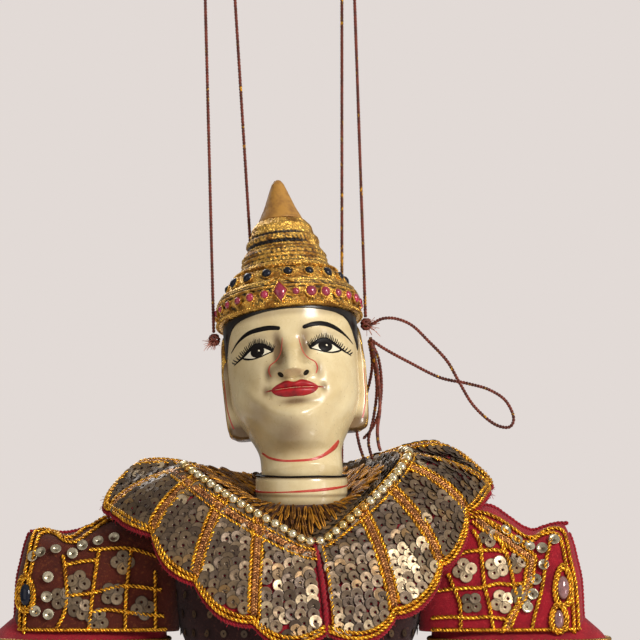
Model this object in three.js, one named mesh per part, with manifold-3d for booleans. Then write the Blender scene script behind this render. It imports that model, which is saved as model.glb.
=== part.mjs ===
// Hand-strung court puppet: carved head and gilt crown, stiff sequinned collar, winged sleeves,
// jointed wooden body, four strings and a turned control bar. Millimetres, +Z up, face towards -Y.
import * as THREE from 'three';
import * as BufferGeometryUtils from 'three/addons/utils/BufferGeometryUtils.js';
import Module from 'manifold-3d';

const wasm = await Module();
wasm.setup();

// Driving dimensions
const GAP = 0.3; // air left between touching pieces
const PUPPET = new THREE.Vector3(8.6, -14, -290); // centre of the neck seam below the handle's top
const STRING_D = 1.3;
const BAR_R = 8; // control bar
const BAR_LENGTH = 150;
const BAR_BELOW_TOP = 65.4; // from the handle's top face to the bar's axis
const HEAD_PITCH = 15; // degrees, face turned up
const HEAD_ROLL = 5; // degrees, crown leaning to -X
const HEAD_SHIFT = 1;
const RIM_R = 30.4; // crown rim
const RIM_H = 66.4; // height of the crown rim above the neck seam
const NECK_R = 19;
const NECK_BALL = { r: 17.8, h: 5 }; // round foot of the neck and its centre, which the head nods about
const SHOULDER = { x: 69, z: -40, r: 9 };
const ELBOW = { z: -120, r: 6.5 };
const HIP = { x: 19, z: -158, r: 9.5 };
const KNEE = { z: -244, r: 7.5 };
const ANKLE_Z = -322;
const CLOTH = 1.7; // thickness of the stiff costume cloth

const PAINT = {
  cream: ['#d6c8a5', 0.3, 0],
  black: ['#1c1512', 0.5, 0],
  gilt: ['#be8c3c', 0.35, 0.8],
  ochre: ['#af8246', 0.5, 0.5],
  sequin: ['#645848', 0.35, 0.6],
  fringe: ['#c8961e', 0.5, 0.5],
  maroon: ['#781423', 0.8, 0],
  dark: ['#2a1a1a', 0.85, 0],
  string: ['#5a281e', 0.7, 0],
  wood: ['#7a5230', 0.5, 0],
  brass: ['#b08d3c', 0.3, 0.9],
};

const root = new THREE.Group();
const puppet = new THREE.Group();
puppet.position.copy(PUPPET);
root.add(puppet);

function degrees(a) {
  return (a * Math.PI) / 180;
}

function mix(a, b, t) {
  return a + (b - a) * t;
}

function smooth(a, b, t) {
  const s = Math.min(1, Math.max(0, (t - a) / (b - a)));
  return s * s * (3 - 2 * s);
}

function bump(d, width) {
  return Math.exp(-((d / width) ** 2));
}

function addPiece(parent, name, geometry, paint) {
  const [color, roughness, metalness] = PAINT[paint];
  const mesh = new THREE.Mesh(geometry, new THREE.MeshStandardMaterial({ color, roughness, metalness }));
  mesh.name = name;
  parent.add(mesh);
  return mesh;
}

function signedVolume(points, faces) {
  let v = 0;
  for (const [a, b, c] of faces) v += points[a].dot(points[b].clone().cross(points[c]));
  return v / 6;
}

// One closed body from points and faces, turned so that its faces point out
function solid(points, faces) {
  const outward = signedVolume(points, faces) > 0;
  const geometry = new THREE.BufferGeometry();
  const flat = points.flatMap((p) => [p.x, p.y, p.z]);
  geometry.setAttribute('position', new THREE.Float32BufferAttribute(flat, 3));
  geometry.setIndex(faces.flatMap(([a, b, c]) => (outward ? [a, b, c] : [a, c, b])));
  return geometry;
}

// Solid through a stack of closed rings, with flat fans over both ends
function loft(rings) {
  const n = rings[0].length;
  const points = rings.flat();
  const faces = [];
  for (let k = 0; k < rings.length - 1; k += 1) {
    for (let i = 0; i < n; i += 1) {
      const a = k * n + i;
      const b = k * n + ((i + 1) % n);
      faces.push([a, b, b + n], [a, b + n, a + n]);
    }
  }
  const ends = [rings[0], rings[rings.length - 1]];
  ends.forEach((ring, e) => {
    const hub = points.push(ring.reduce((s, p) => s.add(p), new THREE.Vector3()).divideScalar(n)) - 1;
    const start = e * (rings.length - 1) * n;
    for (let i = 0; i < n; i += 1) {
      const pair = [start + i, start + ((i + 1) % n)];
      faces.push(e ? [...pair, hub] : [pair[1], pair[0], hub]);
    }
  });
  return solid(points, faces);
}

// Sheet between two surfaces of (u, v), each 0 to 1; round joins u = 1 to u = 0
function sheet(top, under, nu, nv, round) {
  const columns = round ? nu : nu + 1;
  const points = [];
  for (const surface of [top, under]) {
    for (let i = 0; i < columns; i += 1) {
      for (let j = 0; j <= nv; j += 1) points.push(surface(i / nu, j / nv));
    }
  }
  const at = (side, i, j) => side * columns * (nv + 1) + (i % columns) * (nv + 1) + j;
  const faces = [];
  const quad = (a, b, c, d) => faces.push([a, b, c], [a, c, d]);
  for (let i = 0; i < nu; i += 1) {
    for (let j = 0; j < nv; j += 1) {
      quad(at(0, i, j), at(0, i + 1, j), at(0, i + 1, j + 1), at(0, i, j + 1));
      quad(at(1, i, j + 1), at(1, i + 1, j + 1), at(1, i + 1, j), at(1, i, j));
    }
    quad(at(0, i, 0), at(1, i, 0), at(1, i + 1, 0), at(0, i + 1, 0));
    quad(at(0, i + 1, nv), at(1, i + 1, nv), at(1, i, nv), at(0, i, nv));
  }
  if (!round) {
    for (let j = 0; j < nv; j += 1) {
      quad(at(0, 0, j + 1), at(1, 0, j + 1), at(1, 0, j), at(0, 0, j));
      quad(at(0, nu, j), at(1, nu, j), at(1, nu, j + 1), at(0, nu, j + 1));
    }
  }
  return solid(points, faces);
}

// The surface moved along its own normal by depth
function offset(surface, depth) {
  const step = 0.004;
  return (u, v) => {
    const along = surface(u + step, v).sub(surface(u - step, v));
    const across = surface(u, v + step).sub(surface(u, v - step));
    return surface(u, v).addScaledVector(along.cross(across).normalize(), depth);
  };
}

// Oval ring in the XY plane: half width a, f towards -Y, b towards +Y, power above 2 squares it
function oval(z, a, f, b, n = 28, cx = 0, cy = 0, power = 2) {
  const ring = [];
  for (let i = 0; i < n; i += 1) {
    const t = (i / n) * 2 * Math.PI;
    const s = Math.sin(t);
    const c = Math.cos(t);
    const x = Math.sign(s) * Math.abs(s) ** (2 / power) * a;
    const y = -Math.sign(c) * Math.abs(c) ** (2 / power) * (c > 0 ? f : b);
    ring.push(new THREE.Vector3(cx + x, cy + y, z));
  }
  return ring;
}

function turned(profile, segments = 32) {
  const geometry = new THREE.LatheGeometry(profile.map(([r, z]) => new THREE.Vector2(r, z)), segments);
  return geometry.rotateX(Math.PI / 2);
}

function cordAlong(curve, steps, diameter = STRING_D) {
  const section = new THREE.Shape();
  section.absarc(0, 0, diameter / 2, 0, 2 * Math.PI);
  return new THREE.ExtrudeGeometry(section, { steps, curveSegments: 4, extrudePath: curve });
}

function toManifold(geometry) {
  const bare = geometry.clone();
  bare.deleteAttribute('normal');
  bare.deleteAttribute('uv');
  const merged = BufferGeometryUtils.mergeVertices(bare, 1e-3);
  return new wasm.Manifold(new wasm.Mesh({
    numProp: 3,
    vertProperties: new Float32Array(merged.attributes.position.array),
    triVerts: new Uint32Array(merged.index.array),
  }));
}

function cut(geometry, ...tools) {
  let body = toManifold(geometry);
  for (const tool of tools) body = body.subtract(toManifold(tool));
  const mesh = body.getMesh();
  const result = new THREE.BufferGeometry();
  result.setAttribute('position', new THREE.Float32BufferAttribute(mesh.vertProperties, 3));
  result.setIndex([...mesh.triVerts]);
  return result;
}

// Head: ring sizes from the neck seam up, as height, half width, front, back
const HEAD_RINGS = [
  [GAP, 17.2, 17.2, 17.2], [3.5, 17.2, 16.9, 17.4], [6, 17.2, 19.2, 17.6], [9, 17.4, 24, 18.4],
  [13, 18.6, 26.8, 20], [17, 20.6, 27.8, 22.4], [21, 23, 28.3, 24.4], [25, 25.2, 28.4, 26.2],
  [30, 26.9, 28.4, 27.6], [40, 27.6, 27.4, 29], [50, 27.8, 26.8, 29.4], [58, 27.8, 27.4, 29],
  [RIM_H - GAP, 27.9, 27.8, 28.4],
];

function headSize(h) {
  let k = 1;
  while (k < HEAD_RINGS.length - 1 && HEAD_RINGS[k][0] < h) k += 1;
  const [low, high] = [HEAD_RINGS[k - 1], HEAD_RINGS[k]];
  const t = (h - low[0]) / (high[0] - low[0]);
  return [1, 2, 3].map((i) => mix(low[i], high[i], t));
}

// How far the carving stands out of the plain oval at (x, height) of the face
function carving(x, h) {
  const side = Math.abs(x);
  const noseRise = 9 * smooth(56, 38.5, h) ** 1.4 * smooth(35, 38, h);
  const nose = noseRise * bump(x, mix(8.2, 3, smooth(37, 50, h)));
  const wings = 2.4 * bump(side - 6.2, 2.6) * bump(h - 38.2, 2.6);
  const lips = 1.7 * bump(x, 8.5) * (bump(h - 32.6, 1.5) + 1.15 * bump(h - 29, 1.7));
  const hollow = -1.7 * bump(side - 14, 8) * bump(h - 49.5, 4.6);
  const eyeball = 1.5 * bump(side - 14.6, 6) * bump(h - 48.6, 2.8);
  const brow = 0.8 * bump(side - 13, 9) * bump(h - 57, 3);
  const cheek = 1.3 * bump(side - 15, 8) * bump(h - 37, 7);
  const chin = 1.6 * bump(x, 8) * bump(h - 14, 6);
  return nose + wings + lips + hollow + eyeball + brow + cheek + chin;
}

function headPoint(t, h, out = 0) {
  const [a, f, b] = headSize(h);
  const front = Math.cos(t) > 0;
  const narrow = front ? 1 - 0.22 * (1 - smooth(9, 24, h)) * smooth(3, 8, h) * Math.cos(t) ** 2 : 1;
  const x = (a + out) * Math.sin(t) * narrow;
  const y = -((front ? f : b) + out) * Math.cos(t);
  const carved = front && out === 0 ? carving(x, h) * Math.cos(t) ** 0.5 : 0;
  return new THREE.Vector3(x, y - carved, h);
}

function headLoft() {
  const around = 42;
  const crowding = 0.45; // draws the columns together towards the face
  const heights = [GAP, 3, 5.5, 8, 10.5, 13, 16, 19.5, 24, 27, 29, 30.8, 32.6, 34.6, 36, 37.4, 39, 42, 45, 47.4,
    49.4, 51.6, 54.5, 57.5, 61, RIM_H - GAP];
  const turns = Array.from({ length: around }, (_, i) => {
    const t = (i / around) * 2 * Math.PI;
    return t - crowding * Math.sin(t);
  });
  const ball = [-12, -10, -6.5, -3].map((h) => {
    const r = Math.sqrt(NECK_BALL.r ** 2 - (h - NECK_BALL.h) ** 2);
    return turns.map((t) => new THREE.Vector3(r * Math.sin(t), -r * Math.cos(t), h));
  });
  return loft([...ball, ...heights.map((h) => turns.map((t) => headPoint(t, h)))]);
}

// Black hair: a thin cap that shows as a line under the crown, two sideburns and the nape
function hairLowEdge(t) {
  const turn = Math.abs(Math.atan2(Math.sin(t), Math.cos(t)));
  const burn = 17 * bump(turn - degrees(72), degrees(8));
  const nape = 36 * smooth(degrees(112), degrees(128), turn);
  return RIM_H - 2.4 - burn - nape;
}

function hairCap() {
  const surface = (out) => (u, v) => {
    const t = u * 2 * Math.PI;
    const h = mix(hairLowEdge(t), RIM_H - GAP, v);
    return headPoint(t, h, out);
  };
  return sheet(surface(1.9), surface(0.9), 36, 6, true);
}

// Long ear flap beside the cheek, ending in a square lobe: height, inner side, outer side
const EAR_RINGS = [
  [14.4, 21, 27.4], [15.6, 20.7, 29.2], [20, 23, 30.2], [25, 25.9, 30.5], [30, 27.6, 30.8], [37, 28.2, 31],
  [46, 28.4, 31.2], [51, 28.6, 31], [53.6, 28.9, 30.2],
];

function earFlap(side) {
  return loft(EAR_RINGS.map(([h, low, high]) => {
    return oval(h, (high - low) / 2, 4.6, 4.6, 10, (side * (low + high)) / 2, 3.6, 3.2);
  }));
}

// Crown: three turned and carved stages. Profiles are radius, height above the neck seam
function crownBand() {
  return turned([
    [0, RIM_H], [RIM_R - 0.8, RIM_H], [RIM_R + 0.4, 67.4], [RIM_R - 0.6, 68.6], [RIM_R - 0.8, 69.6],
    [RIM_R + 0.2, 70.4], [RIM_R - 0.4, 76.4], [29.6, 77.6], [28, 78.4], [25.8, 79.2], [23.6, 84.2], [22.6, 85.6],
    [0, 85.6],
  ], 30);
}

function crownTiers() {
  return turned([
    [0, 85.9], [21.6, 85.9], [22.4, 86.8], [19.8, 88.6], [18.2, 91.4], [17.8, 94], [18.4, 95.2], [16.2, 96.6],
    [15.2, 99.4], [15.9, 101], [15.6, 102.4], [13.7, 103.6], [12.7, 106.2], [13.3, 107.8], [11.4, 109.4],
    [10.2, 110.8], [0, 110.8],
  ], 24);
}

function crownSpire() {
  return turned([
    [0, 111.1], [9.6, 111.1], [8.9, 113], [6.8, 116.4], [5.4, 120], [4, 124], [2.2, 128.4], [1.2, 129.8],
    [0, 130.2],
  ], 20);
}

function knotBall(r = 2.1) {
  return new THREE.SphereGeometry(r, 10, 6).scale(1, 1, 1.15);
}

const TEMPLE_KNOTS = { left: [-32.4, -4, 61], right: [32.4, -4, 62] };

// Collar edges, right half from the front centre to the back centre; the left half mirrors it
const COLLAR_OUTER = [
  [0, -54, -69], [18, -53, -69.5], [36, -49, -61], [52, -41, -48], [64, -30, -33], [72, -20, -21.5],
  [79, -8, -14.5], [86, 5, -12], [79, 15, -2], [71, 25, 6.5], [50, 54, -4], [27, 66, -14], [0, 70, -18],
];
const COLLAR_INNER = [
  [0, -31, -27], [16, -27, -17.5], [30, -19, -7.5], [40, -9, 0.5], [45, 4, 5], [42, 16, 5], [32, 26, 3],
  [17, 31, 0], [0, 32, -1],
];
const COLLAR_TURN = 8.5; // degrees that the worn collar has slipped round the neck
const COLLAR_TILT = 3.5; // degrees, +X side up
const COLLAR_PANELS = 16;
const SCALLOP = 3.2;
const COLLAR_SLIT = 0.006; // share of the way round left open at the front

function closedEdge(half) {
  const left = half.slice(1, -1).reverse().map(([x, y, z]) => [-x, y, z]);
  const slipped = new THREE.Matrix4().makeRotationY(-degrees(COLLAR_TILT))
    .multiply(new THREE.Matrix4().makeRotationZ(degrees(COLLAR_TURN)));
  const points = [...half, ...left].map((p) => new THREE.Vector3(...p).applyMatrix4(slipped));
  return new THREE.CatmullRomCurve3(points, true);
}

const outerEdge = closedEdge(COLLAR_OUTER);
const innerEdge = closedEdge(COLLAR_INNER);

function wrap(u) {
  return u - Math.floor(u);
}

// The front panels are cut wide at the neckline, so the others crowd towards the shoulder there
function neckShare(u) {
  const panels = COLLAR_PANELS * Math.min(wrap(u), 1 - wrap(u));
  const crowded = panels + 0.65 * smooth(0, 1.2, panels) * (1 - smooth(4, 6.5, panels));
  return (wrap(u) < 0.5 ? crowded : COLLAR_PANELS - crowded) / COLLAR_PANELS;
}

// Point of the collar: u runs round it from the front centre, s from the neckline out
function collarPoint(u, s) {
  const inner = innerEdge.getPointAt(wrap(neckShare(u)));
  const outer = outerEdge.getPointAt(wrap(u));
  const away = new THREE.Vector3(outer.x - inner.x, outer.y - inner.y, 0).normalize();
  const scallop = SCALLOP * (1 - Math.abs(2 * wrap(u * COLLAR_PANELS) - 1) ** 3) - SCALLOP;
  const crown = 4 * Math.sin(Math.PI * Math.min(s, 1));
  const p = inner.clone().lerp(outer, s);
  p.addScaledVector(outer.sub(inner).normalize(), scallop * smooth(0.7, 1, s));
  return p.addScaledVector(away, crown * 0.6).add(new THREE.Vector3(0, 0, crown * 0.8));
}

function collar() {
  const surface = (u, s) => collarPoint(mix(COLLAR_SLIT, 1 - COLLAR_SLIT, u), s);
  return sheet(surface, offset(surface, CLOTH), 64, 3, false);
}

// Yoke that carries the looped fringe, from the neck socket to the collar's neckline
function neckYoke() {
  const surface = (u, s) => {
    const t = u * 2 * Math.PI + degrees(COLLAR_TURN);
    const ring = new THREE.Vector3(21 * Math.sin(t), -21 * Math.cos(t), -10.5 - 1.5 * Math.cos(t));
    const edge = innerEdge.getPointAt(wrap(u));
    edge.x *= 0.965;
    edge.y *= 0.955;
    edge.z -= 0.6;
    return ring.lerp(edge, s);
  };
  return sheet(surface, offset(surface, 1.2), 32, 1, true);
}

// Chest and pelvis: height, half width, front, back
const CHEST_RINGS = [
  [-14.3, 22, 18.6, 18.6], [-18, 36, 18.6, 19.4], [-24, 50, 20, 22], [-34, 54, 22, 23],
  [-46, 50, 23, 23], [-76, 40, 23, 22], [-112, 33, 21, 21],
];
const BLOCK_SIDES = 22;
const PELVIS_RINGS = [[-112.3, 33, 21, 21], [-130, 34, 21, 22], [-143, 33, 19, 21], [-147, 28, 14, 16]];

function blockLoft(rows) {
  return loft(rows.map(([z, a, f, b]) => oval(z, a, f, b, BLOCK_SIDES, 0, 0, 2.3)));
}

function sizeAt(rows, z) {
  let k = 1;
  while (k < rows.length - 1 && rows[k][0] > z) k += 1;
  const t = (z - rows[k - 1][0]) / (rows[k][0] - rows[k - 1][0]);
  return [1, 2, 3].map((i) => mix(rows[k - 1][i], rows[k][i], t));
}

// Cloth or leather band that hugs a block between two heights
function wrapBand(rows, zTop, zLow, inner, outer, levels) {
  const surface = (out) => (u, v) => {
    const z = mix(zTop, zLow, v);
    const [a, f, b] = sizeAt(rows, z);
    const ring = oval(z, a + out, f + out, b + out, BLOCK_SIDES, 0, 0, 2.3);
    return ring[Math.round(u * BLOCK_SIDES) % BLOCK_SIDES];
  };
  return sheet(surface(outer), surface(inner), BLOCK_SIDES, levels, true);
}

// Hollow sleeve between two stacks of rings, open at both ends
function tube(rings, wall) {
  const n = rings[0](0).length;
  const surface = (inset) => (u, v) => rings[Math.round(v * (rings.length - 1))](inset)[Math.round(u * n) % n];
  return sheet(surface(0), surface(wall), n, rings.length - 1, true);
}

function limb(x, z0, ballR, rows, n = 12) {
  const caps = [-80, -55, -30, 0].map((a) => {
    const r = Math.max(ballR * Math.cos(degrees(a)), 0.4);
    return oval(z0 - ballR * Math.sin(degrees(a)), r, r, r, n, x);
  });
  return loft([...caps, ...rows.map(([z, r]) => oval(z, r, r, r, n, x))]);
}

// Shoulder wing: a stiff hood with a piped ridge on top, open below and towards the chest
const WING_RINGS = [
  [-22, 58, 108, 2.4], [-23.6, 54, 112, 6.5], [-28, 52, 115, 12.5], [-36, 51, 117, 15.5], [-48, 50, 118.4, 17.6],
  [-58, 50, 119.4, 19.4],
];

function wingRing(z, x1, x2, depth, side) {
  return oval(z, (x2 - x1) / 2, depth, depth, 22, (side * (x1 + x2)) / 2, 0, 3.4);
}

function shoulderWing(side) {
  const hood = loft(WING_RINGS.map(([z, x1, x2, d]) => wingRing(z, x1, x2, d, side)));
  const core = WING_RINGS.slice(1).map(([z, , x2, d]) => wingRing(z - 1.8, 30, x2 - CLOTH, d - CLOTH, side));
  core.push(wingRing(-62, 30, 117.6, 17.6, side));
  return cut(hood, loft(core));
}

function sleeve(side) {
  const rows = [
    [-50, 58, 114, 14.6], [-57, 57, 115.4, 15.7], [-62, 56, 124, 21], [-68, 55.6, 131, 25], [-80, 56.5, 130, 24],
    [-96, 56, 131, 25], [-108, 55.6, 133, 27],
  ];
  return tube(rows.map(([z, x1, x2, d]) => (inset) => {
    return oval(z, (x2 - x1) / 2 - inset, d - inset, d - inset, 22, (side * (x1 + x2)) / 2, 0, 2.6);
  }), CLOTH);
}

function hand(x) {
  const palm = loft([
    [-190.3, 4.4, 3, 3], [-198, 6.6, 3.2, 3.2], [-210, 8.4, 3.6, 3.2], [-226, 7.8, 3.4, 2.4],
    [-237, 6.6, 3, 2], [-243, 4, 2, 1.4],
  ].map(([z, a, f, b]) => oval(z, a, f, b, 14, x)));
  const slots = [-3.6, 0, 3.6].map((dx) => {
    const slot = new THREE.BoxGeometry(0.9, 14, 30);
    return slot.translate(x + dx, 0, -232);
  });
  return cut(palm, ...slots);
}

function cuff(x) {
  return tube([[-164, 10.5], [-170, 9.4], [-180, 10.4], [-187, 13]].map(([z, r]) => (inset) => {
    return oval(z, r - inset, r - inset, r - inset, 14, x);
  }), 1.6);
}

function trouserUpper(x) {
  return tube([[-166, 13.5], [-185, 15.5], [-210, 15], [-230, 15.6]].map(([z, r]) => (inset) => {
    return oval(z, r - inset, r - inset, r - inset, 14, x);
  }), 1.5);
}

function trouserLower(x) {
  return tube([[-254, 12.8], [-270, 14.4], [-296, 15], [-316, 17]].map(([z, r]) => (inset) => {
    return oval(z, r - inset, r - inset, r - inset, 14, x);
  }), 1.5);
}

function foot(x) {
  const low = -336;
  return loft([[low, 8, 34, 10], [low + 2.5, 8.8, 35, 11], [low + 8, 7.4, 24, 10], [ANKLE_Z - GAP, 6, 8, 7.5]]
    .map(([z, a, f, b]) => oval(z, a, f, b, 18, x, 0, 2.4)));
}

// Stiff hip wing, hanging from the belt and sweeping outwards
function hipWing(side) {
  const surface = (u, v) => {
    const y = mix(-20, 23, u);
    const x = 38.4 + 17 * v * Math.sqrt(Math.abs(v)) + 2 * Math.sin(Math.PI * u);
    return new THREE.Vector3(side * x, y * (1 + 0.25 * v), -134 - 78 * v - 6 * Math.sin(Math.PI * u) * v);
  };
  return sheet(surface, offset(surface, side * CLOTH), 6, 6, false);
}

function tailPanel() {
  const surface = (u, v) => {
    const x = mix(-26, 26, u) * (1 + 0.15 * v);
    const fold = 1.4 * Math.cos(u * 6 * Math.PI) * v;
    return new THREE.Vector3(x, 27 + 3 * v + fold - 3 * (2 * u - 1) ** 2, -134 - 94 * v);
  };
  return sheet(surface, offset(surface, CLOTH), 15, 3, false);
}

function sashKnot() {
  return new THREE.SphereGeometry(1, 14, 8).scale(11, 4.2, 8).translate(0, -29, -128);
}

// Control bar along X, its gourd handle on top, and the ties that the strings hang from
function controlBar() {
  const half = BAR_LENGTH / 2;
  const bar = turned([
    [0, -half], [5.2, -half], [6.6, -half + 2.4], [5.2, -half + 5], [BAR_R, -half + 8], [BAR_R, half - 8],
    [5.2, half - 5], [6.6, half - 2.4], [5.2, half], [0, half],
  ], 16);
  return bar.rotateY(Math.PI / 2).translate(0, 0, -BAR_BELOW_TOP);
}

function controlHandle() {
  const foot0 = -BAR_BELOW_TOP;
  const gourd = turned([
    [0, foot0], [8.4, foot0], [9.4, foot0 + 10], [7, foot0 + 14], [7.4, foot0 + 18], [11.5, foot0 + 28],
    [12.4, foot0 + 38], [9.6, foot0 + 48], [6.4, foot0 + 54], [7, foot0 + 58], [9.4, foot0 + 61], [9.4, 0], [0, 0],
  ], 18);
  const seat = new THREE.CylinderGeometry(BAR_R + GAP, BAR_R + GAP, 60, 16).rotateZ(Math.PI / 2);
  return cut(gourd, seat.translate(0, 0, -BAR_BELOW_TOP), new THREE.BoxGeometry(60, 60, 40)
    .translate(0, 0, -BAR_BELOW_TOP - 20));
}

const TIE_R = 1.1;

function stringTie(x) {
  const middle = BAR_R + GAP + TIE_R;
  const ring = Array.from({ length: 7 }, (_, i) => {
    const a = (i / 6) * 2 * Math.PI;
    return [middle + TIE_R * Math.cos(a), 1.6 * TIE_R * Math.sin(a)];
  });
  return turned(ring, 12).rotateY(Math.PI / 2).translate(x, 0, -BAR_BELOW_TOP);
}

function buildControl() {
  addPiece(root, 'control_bar', controlBar(), 'wood');
  addPiece(root, 'control_handle', controlHandle(), 'wood');
  for (const s of STRINGS) addPiece(root, `tie_${s.name}`, stringTie(PUPPET.x + s.top), 'string');
}

// Head group: everything carved with the head or tied to it, turned about the neck seam
function buildHead() {
  const roll = new THREE.Group();
  roll.position.set(HEAD_SHIFT, 0, NECK_BALL.h);
  roll.rotation.y = -degrees(HEAD_ROLL);
  const pitch = new THREE.Group();
  pitch.rotation.x = -degrees(HEAD_PITCH);
  const head = new THREE.Group();
  head.position.z = -NECK_BALL.h;
  puppet.add(roll);
  roll.add(pitch);
  pitch.add(head);
  addPiece(head, 'head', headLoft(), 'cream');
  addPiece(head, 'hair_cap', hairCap(), 'black');
  addPiece(head, 'ear_left', earFlap(-1), 'cream');
  addPiece(head, 'ear_right', earFlap(1), 'cream');
  addPiece(head, 'crown_band', crownBand(), 'gilt');
  addPiece(head, 'crown_tiers', crownTiers(), 'gilt');
  addPiece(head, 'crown_spire', crownSpire(), 'ochre');
  for (const side of ['left', 'right']) {
    const knot = addPiece(head, `temple_knot_${side}`, knotBall(), 'string');
    knot.position.set(...TEMPLE_KNOTS[side]);
  }
  root.updateMatrixWorld(true);
  return head;
}

// Strings: top gives x at the bar; each runs straight from its tie to its knot or eye
const STRINGS = [
  { name: 'head_left', top: -40.3 },
  { name: 'back_left', top: -28.1 },
  { name: 'back_right', top: 18.1 },
  { name: 'head_right', top: 23.1 },
];
const EYES = { left: [0.514, 0.8], right: [0.441, 0.8] }; // place on the collar, as u and s
const EYE_R = 2.6;

function eyeCentre(side) {
  const [u, s] = EYES[side];
  return collarPoint(u, s).add(new THREE.Vector3(0, 0, EYE_R + 1.6));
}

function backEye(side) {
  const ring = Array.from({ length: 7 }, (_, i) => {
    const a = (i / 6) * 2 * Math.PI;
    return [EYE_R + 0.7 * Math.cos(a), 0.7 * Math.sin(a)];
  });
  const centre = eyeCentre(side);
  return turned(ring, 12).rotateX(Math.PI / 2).translate(centre.x, centre.y, centre.z);
}

function tautString(top, end) {
  const from = new THREE.Vector3(top, -PUPPET.y, -BAR_BELOW_TOP - PUPPET.z - BAR_R - GAP - 2 * TIE_R - GAP);
  return cordAlong(new THREE.LineCurve3(from, end), 3);
}

function buildStrings(head) {
  for (const side of ['left', 'right']) {
    const knot = new THREE.Vector3(...TEMPLE_KNOTS[side]).add(new THREE.Vector3(0, 0, 3.2));
    const end = puppet.worldToLocal(head.localToWorld(knot));
    addPiece(puppet, `string_head_${side}`, tautString(topOf(`head_${side}`), end), 'string');
    const eyeTop = eyeCentre(side).add(new THREE.Vector3(0, 0, EYE_R + 1.2));
    addPiece(puppet, `string_back_${side}`, tautString(topOf(`back_${side}`), eyeTop), 'string');
    addPiece(puppet, `back_eye_${side}`, backEye(side), 'brass');
  }
}

function topOf(name) {
  return STRINGS.find((s) => s.name === name).top;
}

// Loose cords at the right temple, routes in the puppet's own frame
const LOOSE_LOOP = [
  [30.6, 9, 63.6], [35, 7, 66], [40.2, 6, 66.2], [47.2, 5, 63.6], [54.7, 4, 56.6], [62.7, 3, 48], [67.6, 2, 39.4],
  [74, 1, 29], [83.6, -1, 21], [89, -2, 20.4], [90.6, -2.4, 23.6], [87.4, -1, 31.2], [80.4, 2, 36],
  [71.4, 5, 38.6], [60, 6, 41], [46.2, 8, 47.8], [36, 10, 53.4], [30.6, 11, 57],
];
const STRAND_LONG = [
  [30.2, 14.6, 58], [31.4, 15, 52], [32.4, 15, 45], [32.8, 14.4, 36], [32.4, 13.4, 27], [31.6, 12.6, 19],
  [32, 12, 13], [33, 11.6, 10],
];
const STRAND_SHORT = [
  [30.6, 18.2, 56], [33.4, 18.8, 50], [34.8, 18.8, 42], [34.8, 18, 33], [33.2, 17, 24], [30, 16.2, 18],
  [27.2, 15.6, 15],
];

function routeOf(points) {
  return new THREE.CatmullRomCurve3(points.map((p) => new THREE.Vector3(...p)));
}

function buildLooseCords() {
  addPiece(puppet, 'loose_loop', cordAlong(routeOf(LOOSE_LOOP), 46), 'string');
  addPiece(puppet, 'strand_long', cordAlong(routeOf(STRAND_LONG), 18), 'string');
  addPiece(puppet, 'strand_short', cordAlong(routeOf(STRAND_SHORT), 16), 'string');
}

// Turned socket with a round cup for the foot of the neck
function neckSocket() {
  const post = turned([
    [0, -14], [NECK_R, -14], [NECK_R, -9], [NECK_R + 0.4, -7.6], [NECK_R + 0.4, -2], [NECK_R - 0.4, -GAP],
    [0, -GAP],
  ], 30);
  const cup = new THREE.SphereGeometry(NECK_BALL.r + GAP + 0.1, 24, 14).rotateX(Math.PI / 2);
  return cut(post.translate(HEAD_SHIFT, 0, 0), cup.translate(HEAD_SHIFT, 0, NECK_BALL.h));
}

function buildTrunk() {
  addPiece(puppet, 'neck_socket', neckSocket(), 'cream');
  addPiece(puppet, 'chest_block', blockLoft(CHEST_RINGS), 'wood');
  addPiece(puppet, 'pelvis_block', blockLoft(PELVIS_RINGS), 'wood');
  addPiece(puppet, 'jacket_body', wrapBand(CHEST_RINGS, -47, -111, 0.8, 2.6, 3), 'dark');
  addPiece(puppet, 'belt', wrapBand(PELVIS_RINGS, -116, -130, 0.8, 3.4, 1), 'gilt');
  addPiece(puppet, 'sash_knot', sashKnot(), 'maroon');
  addPiece(puppet, 'tail_panel', tailPanel(), 'maroon');
  addPiece(puppet, 'neck_yoke', neckYoke(), 'fringe');
  addPiece(puppet, 'collar', collar(), 'sequin');
}

function buildArm(name, side) {
  const x = side * SHOULDER.x;
  const reach = SHOULDER.x - SHOULDER.r - GAP;
  const peg = new THREE.CylinderGeometry(4, 4, 5.2, 16).rotateZ(Math.PI / 2);
  addPiece(puppet, `shoulder_peg_${name}`, peg.translate(side * (reach - 2.6), 0, SHOULDER.z), 'wood');
  addPiece(puppet, `upper_arm_${name}`, limb(x, SHOULDER.z, SHOULDER.r, [
    [-60, 8.4], [-90, 7.4], [ELBOW.z + ELBOW.r + 0.5, 6.8],
  ]), 'wood');
  addPiece(puppet, `shoulder_wing_${name}`, shoulderWing(side), 'sequin');
  addPiece(puppet, `sleeve_${name}`, sleeve(side), 'maroon');
  addPiece(puppet, `forearm_${name}`, limb(x, ELBOW.z, ELBOW.r, [[-140, 6.4], [-170, 5.6], [-190, 4.6]]), 'wood');
  addPiece(puppet, `cuff_${name}`, cuff(x), 'gilt');
  addPiece(puppet, `hand_${name}`, hand(x), 'cream');
}

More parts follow.
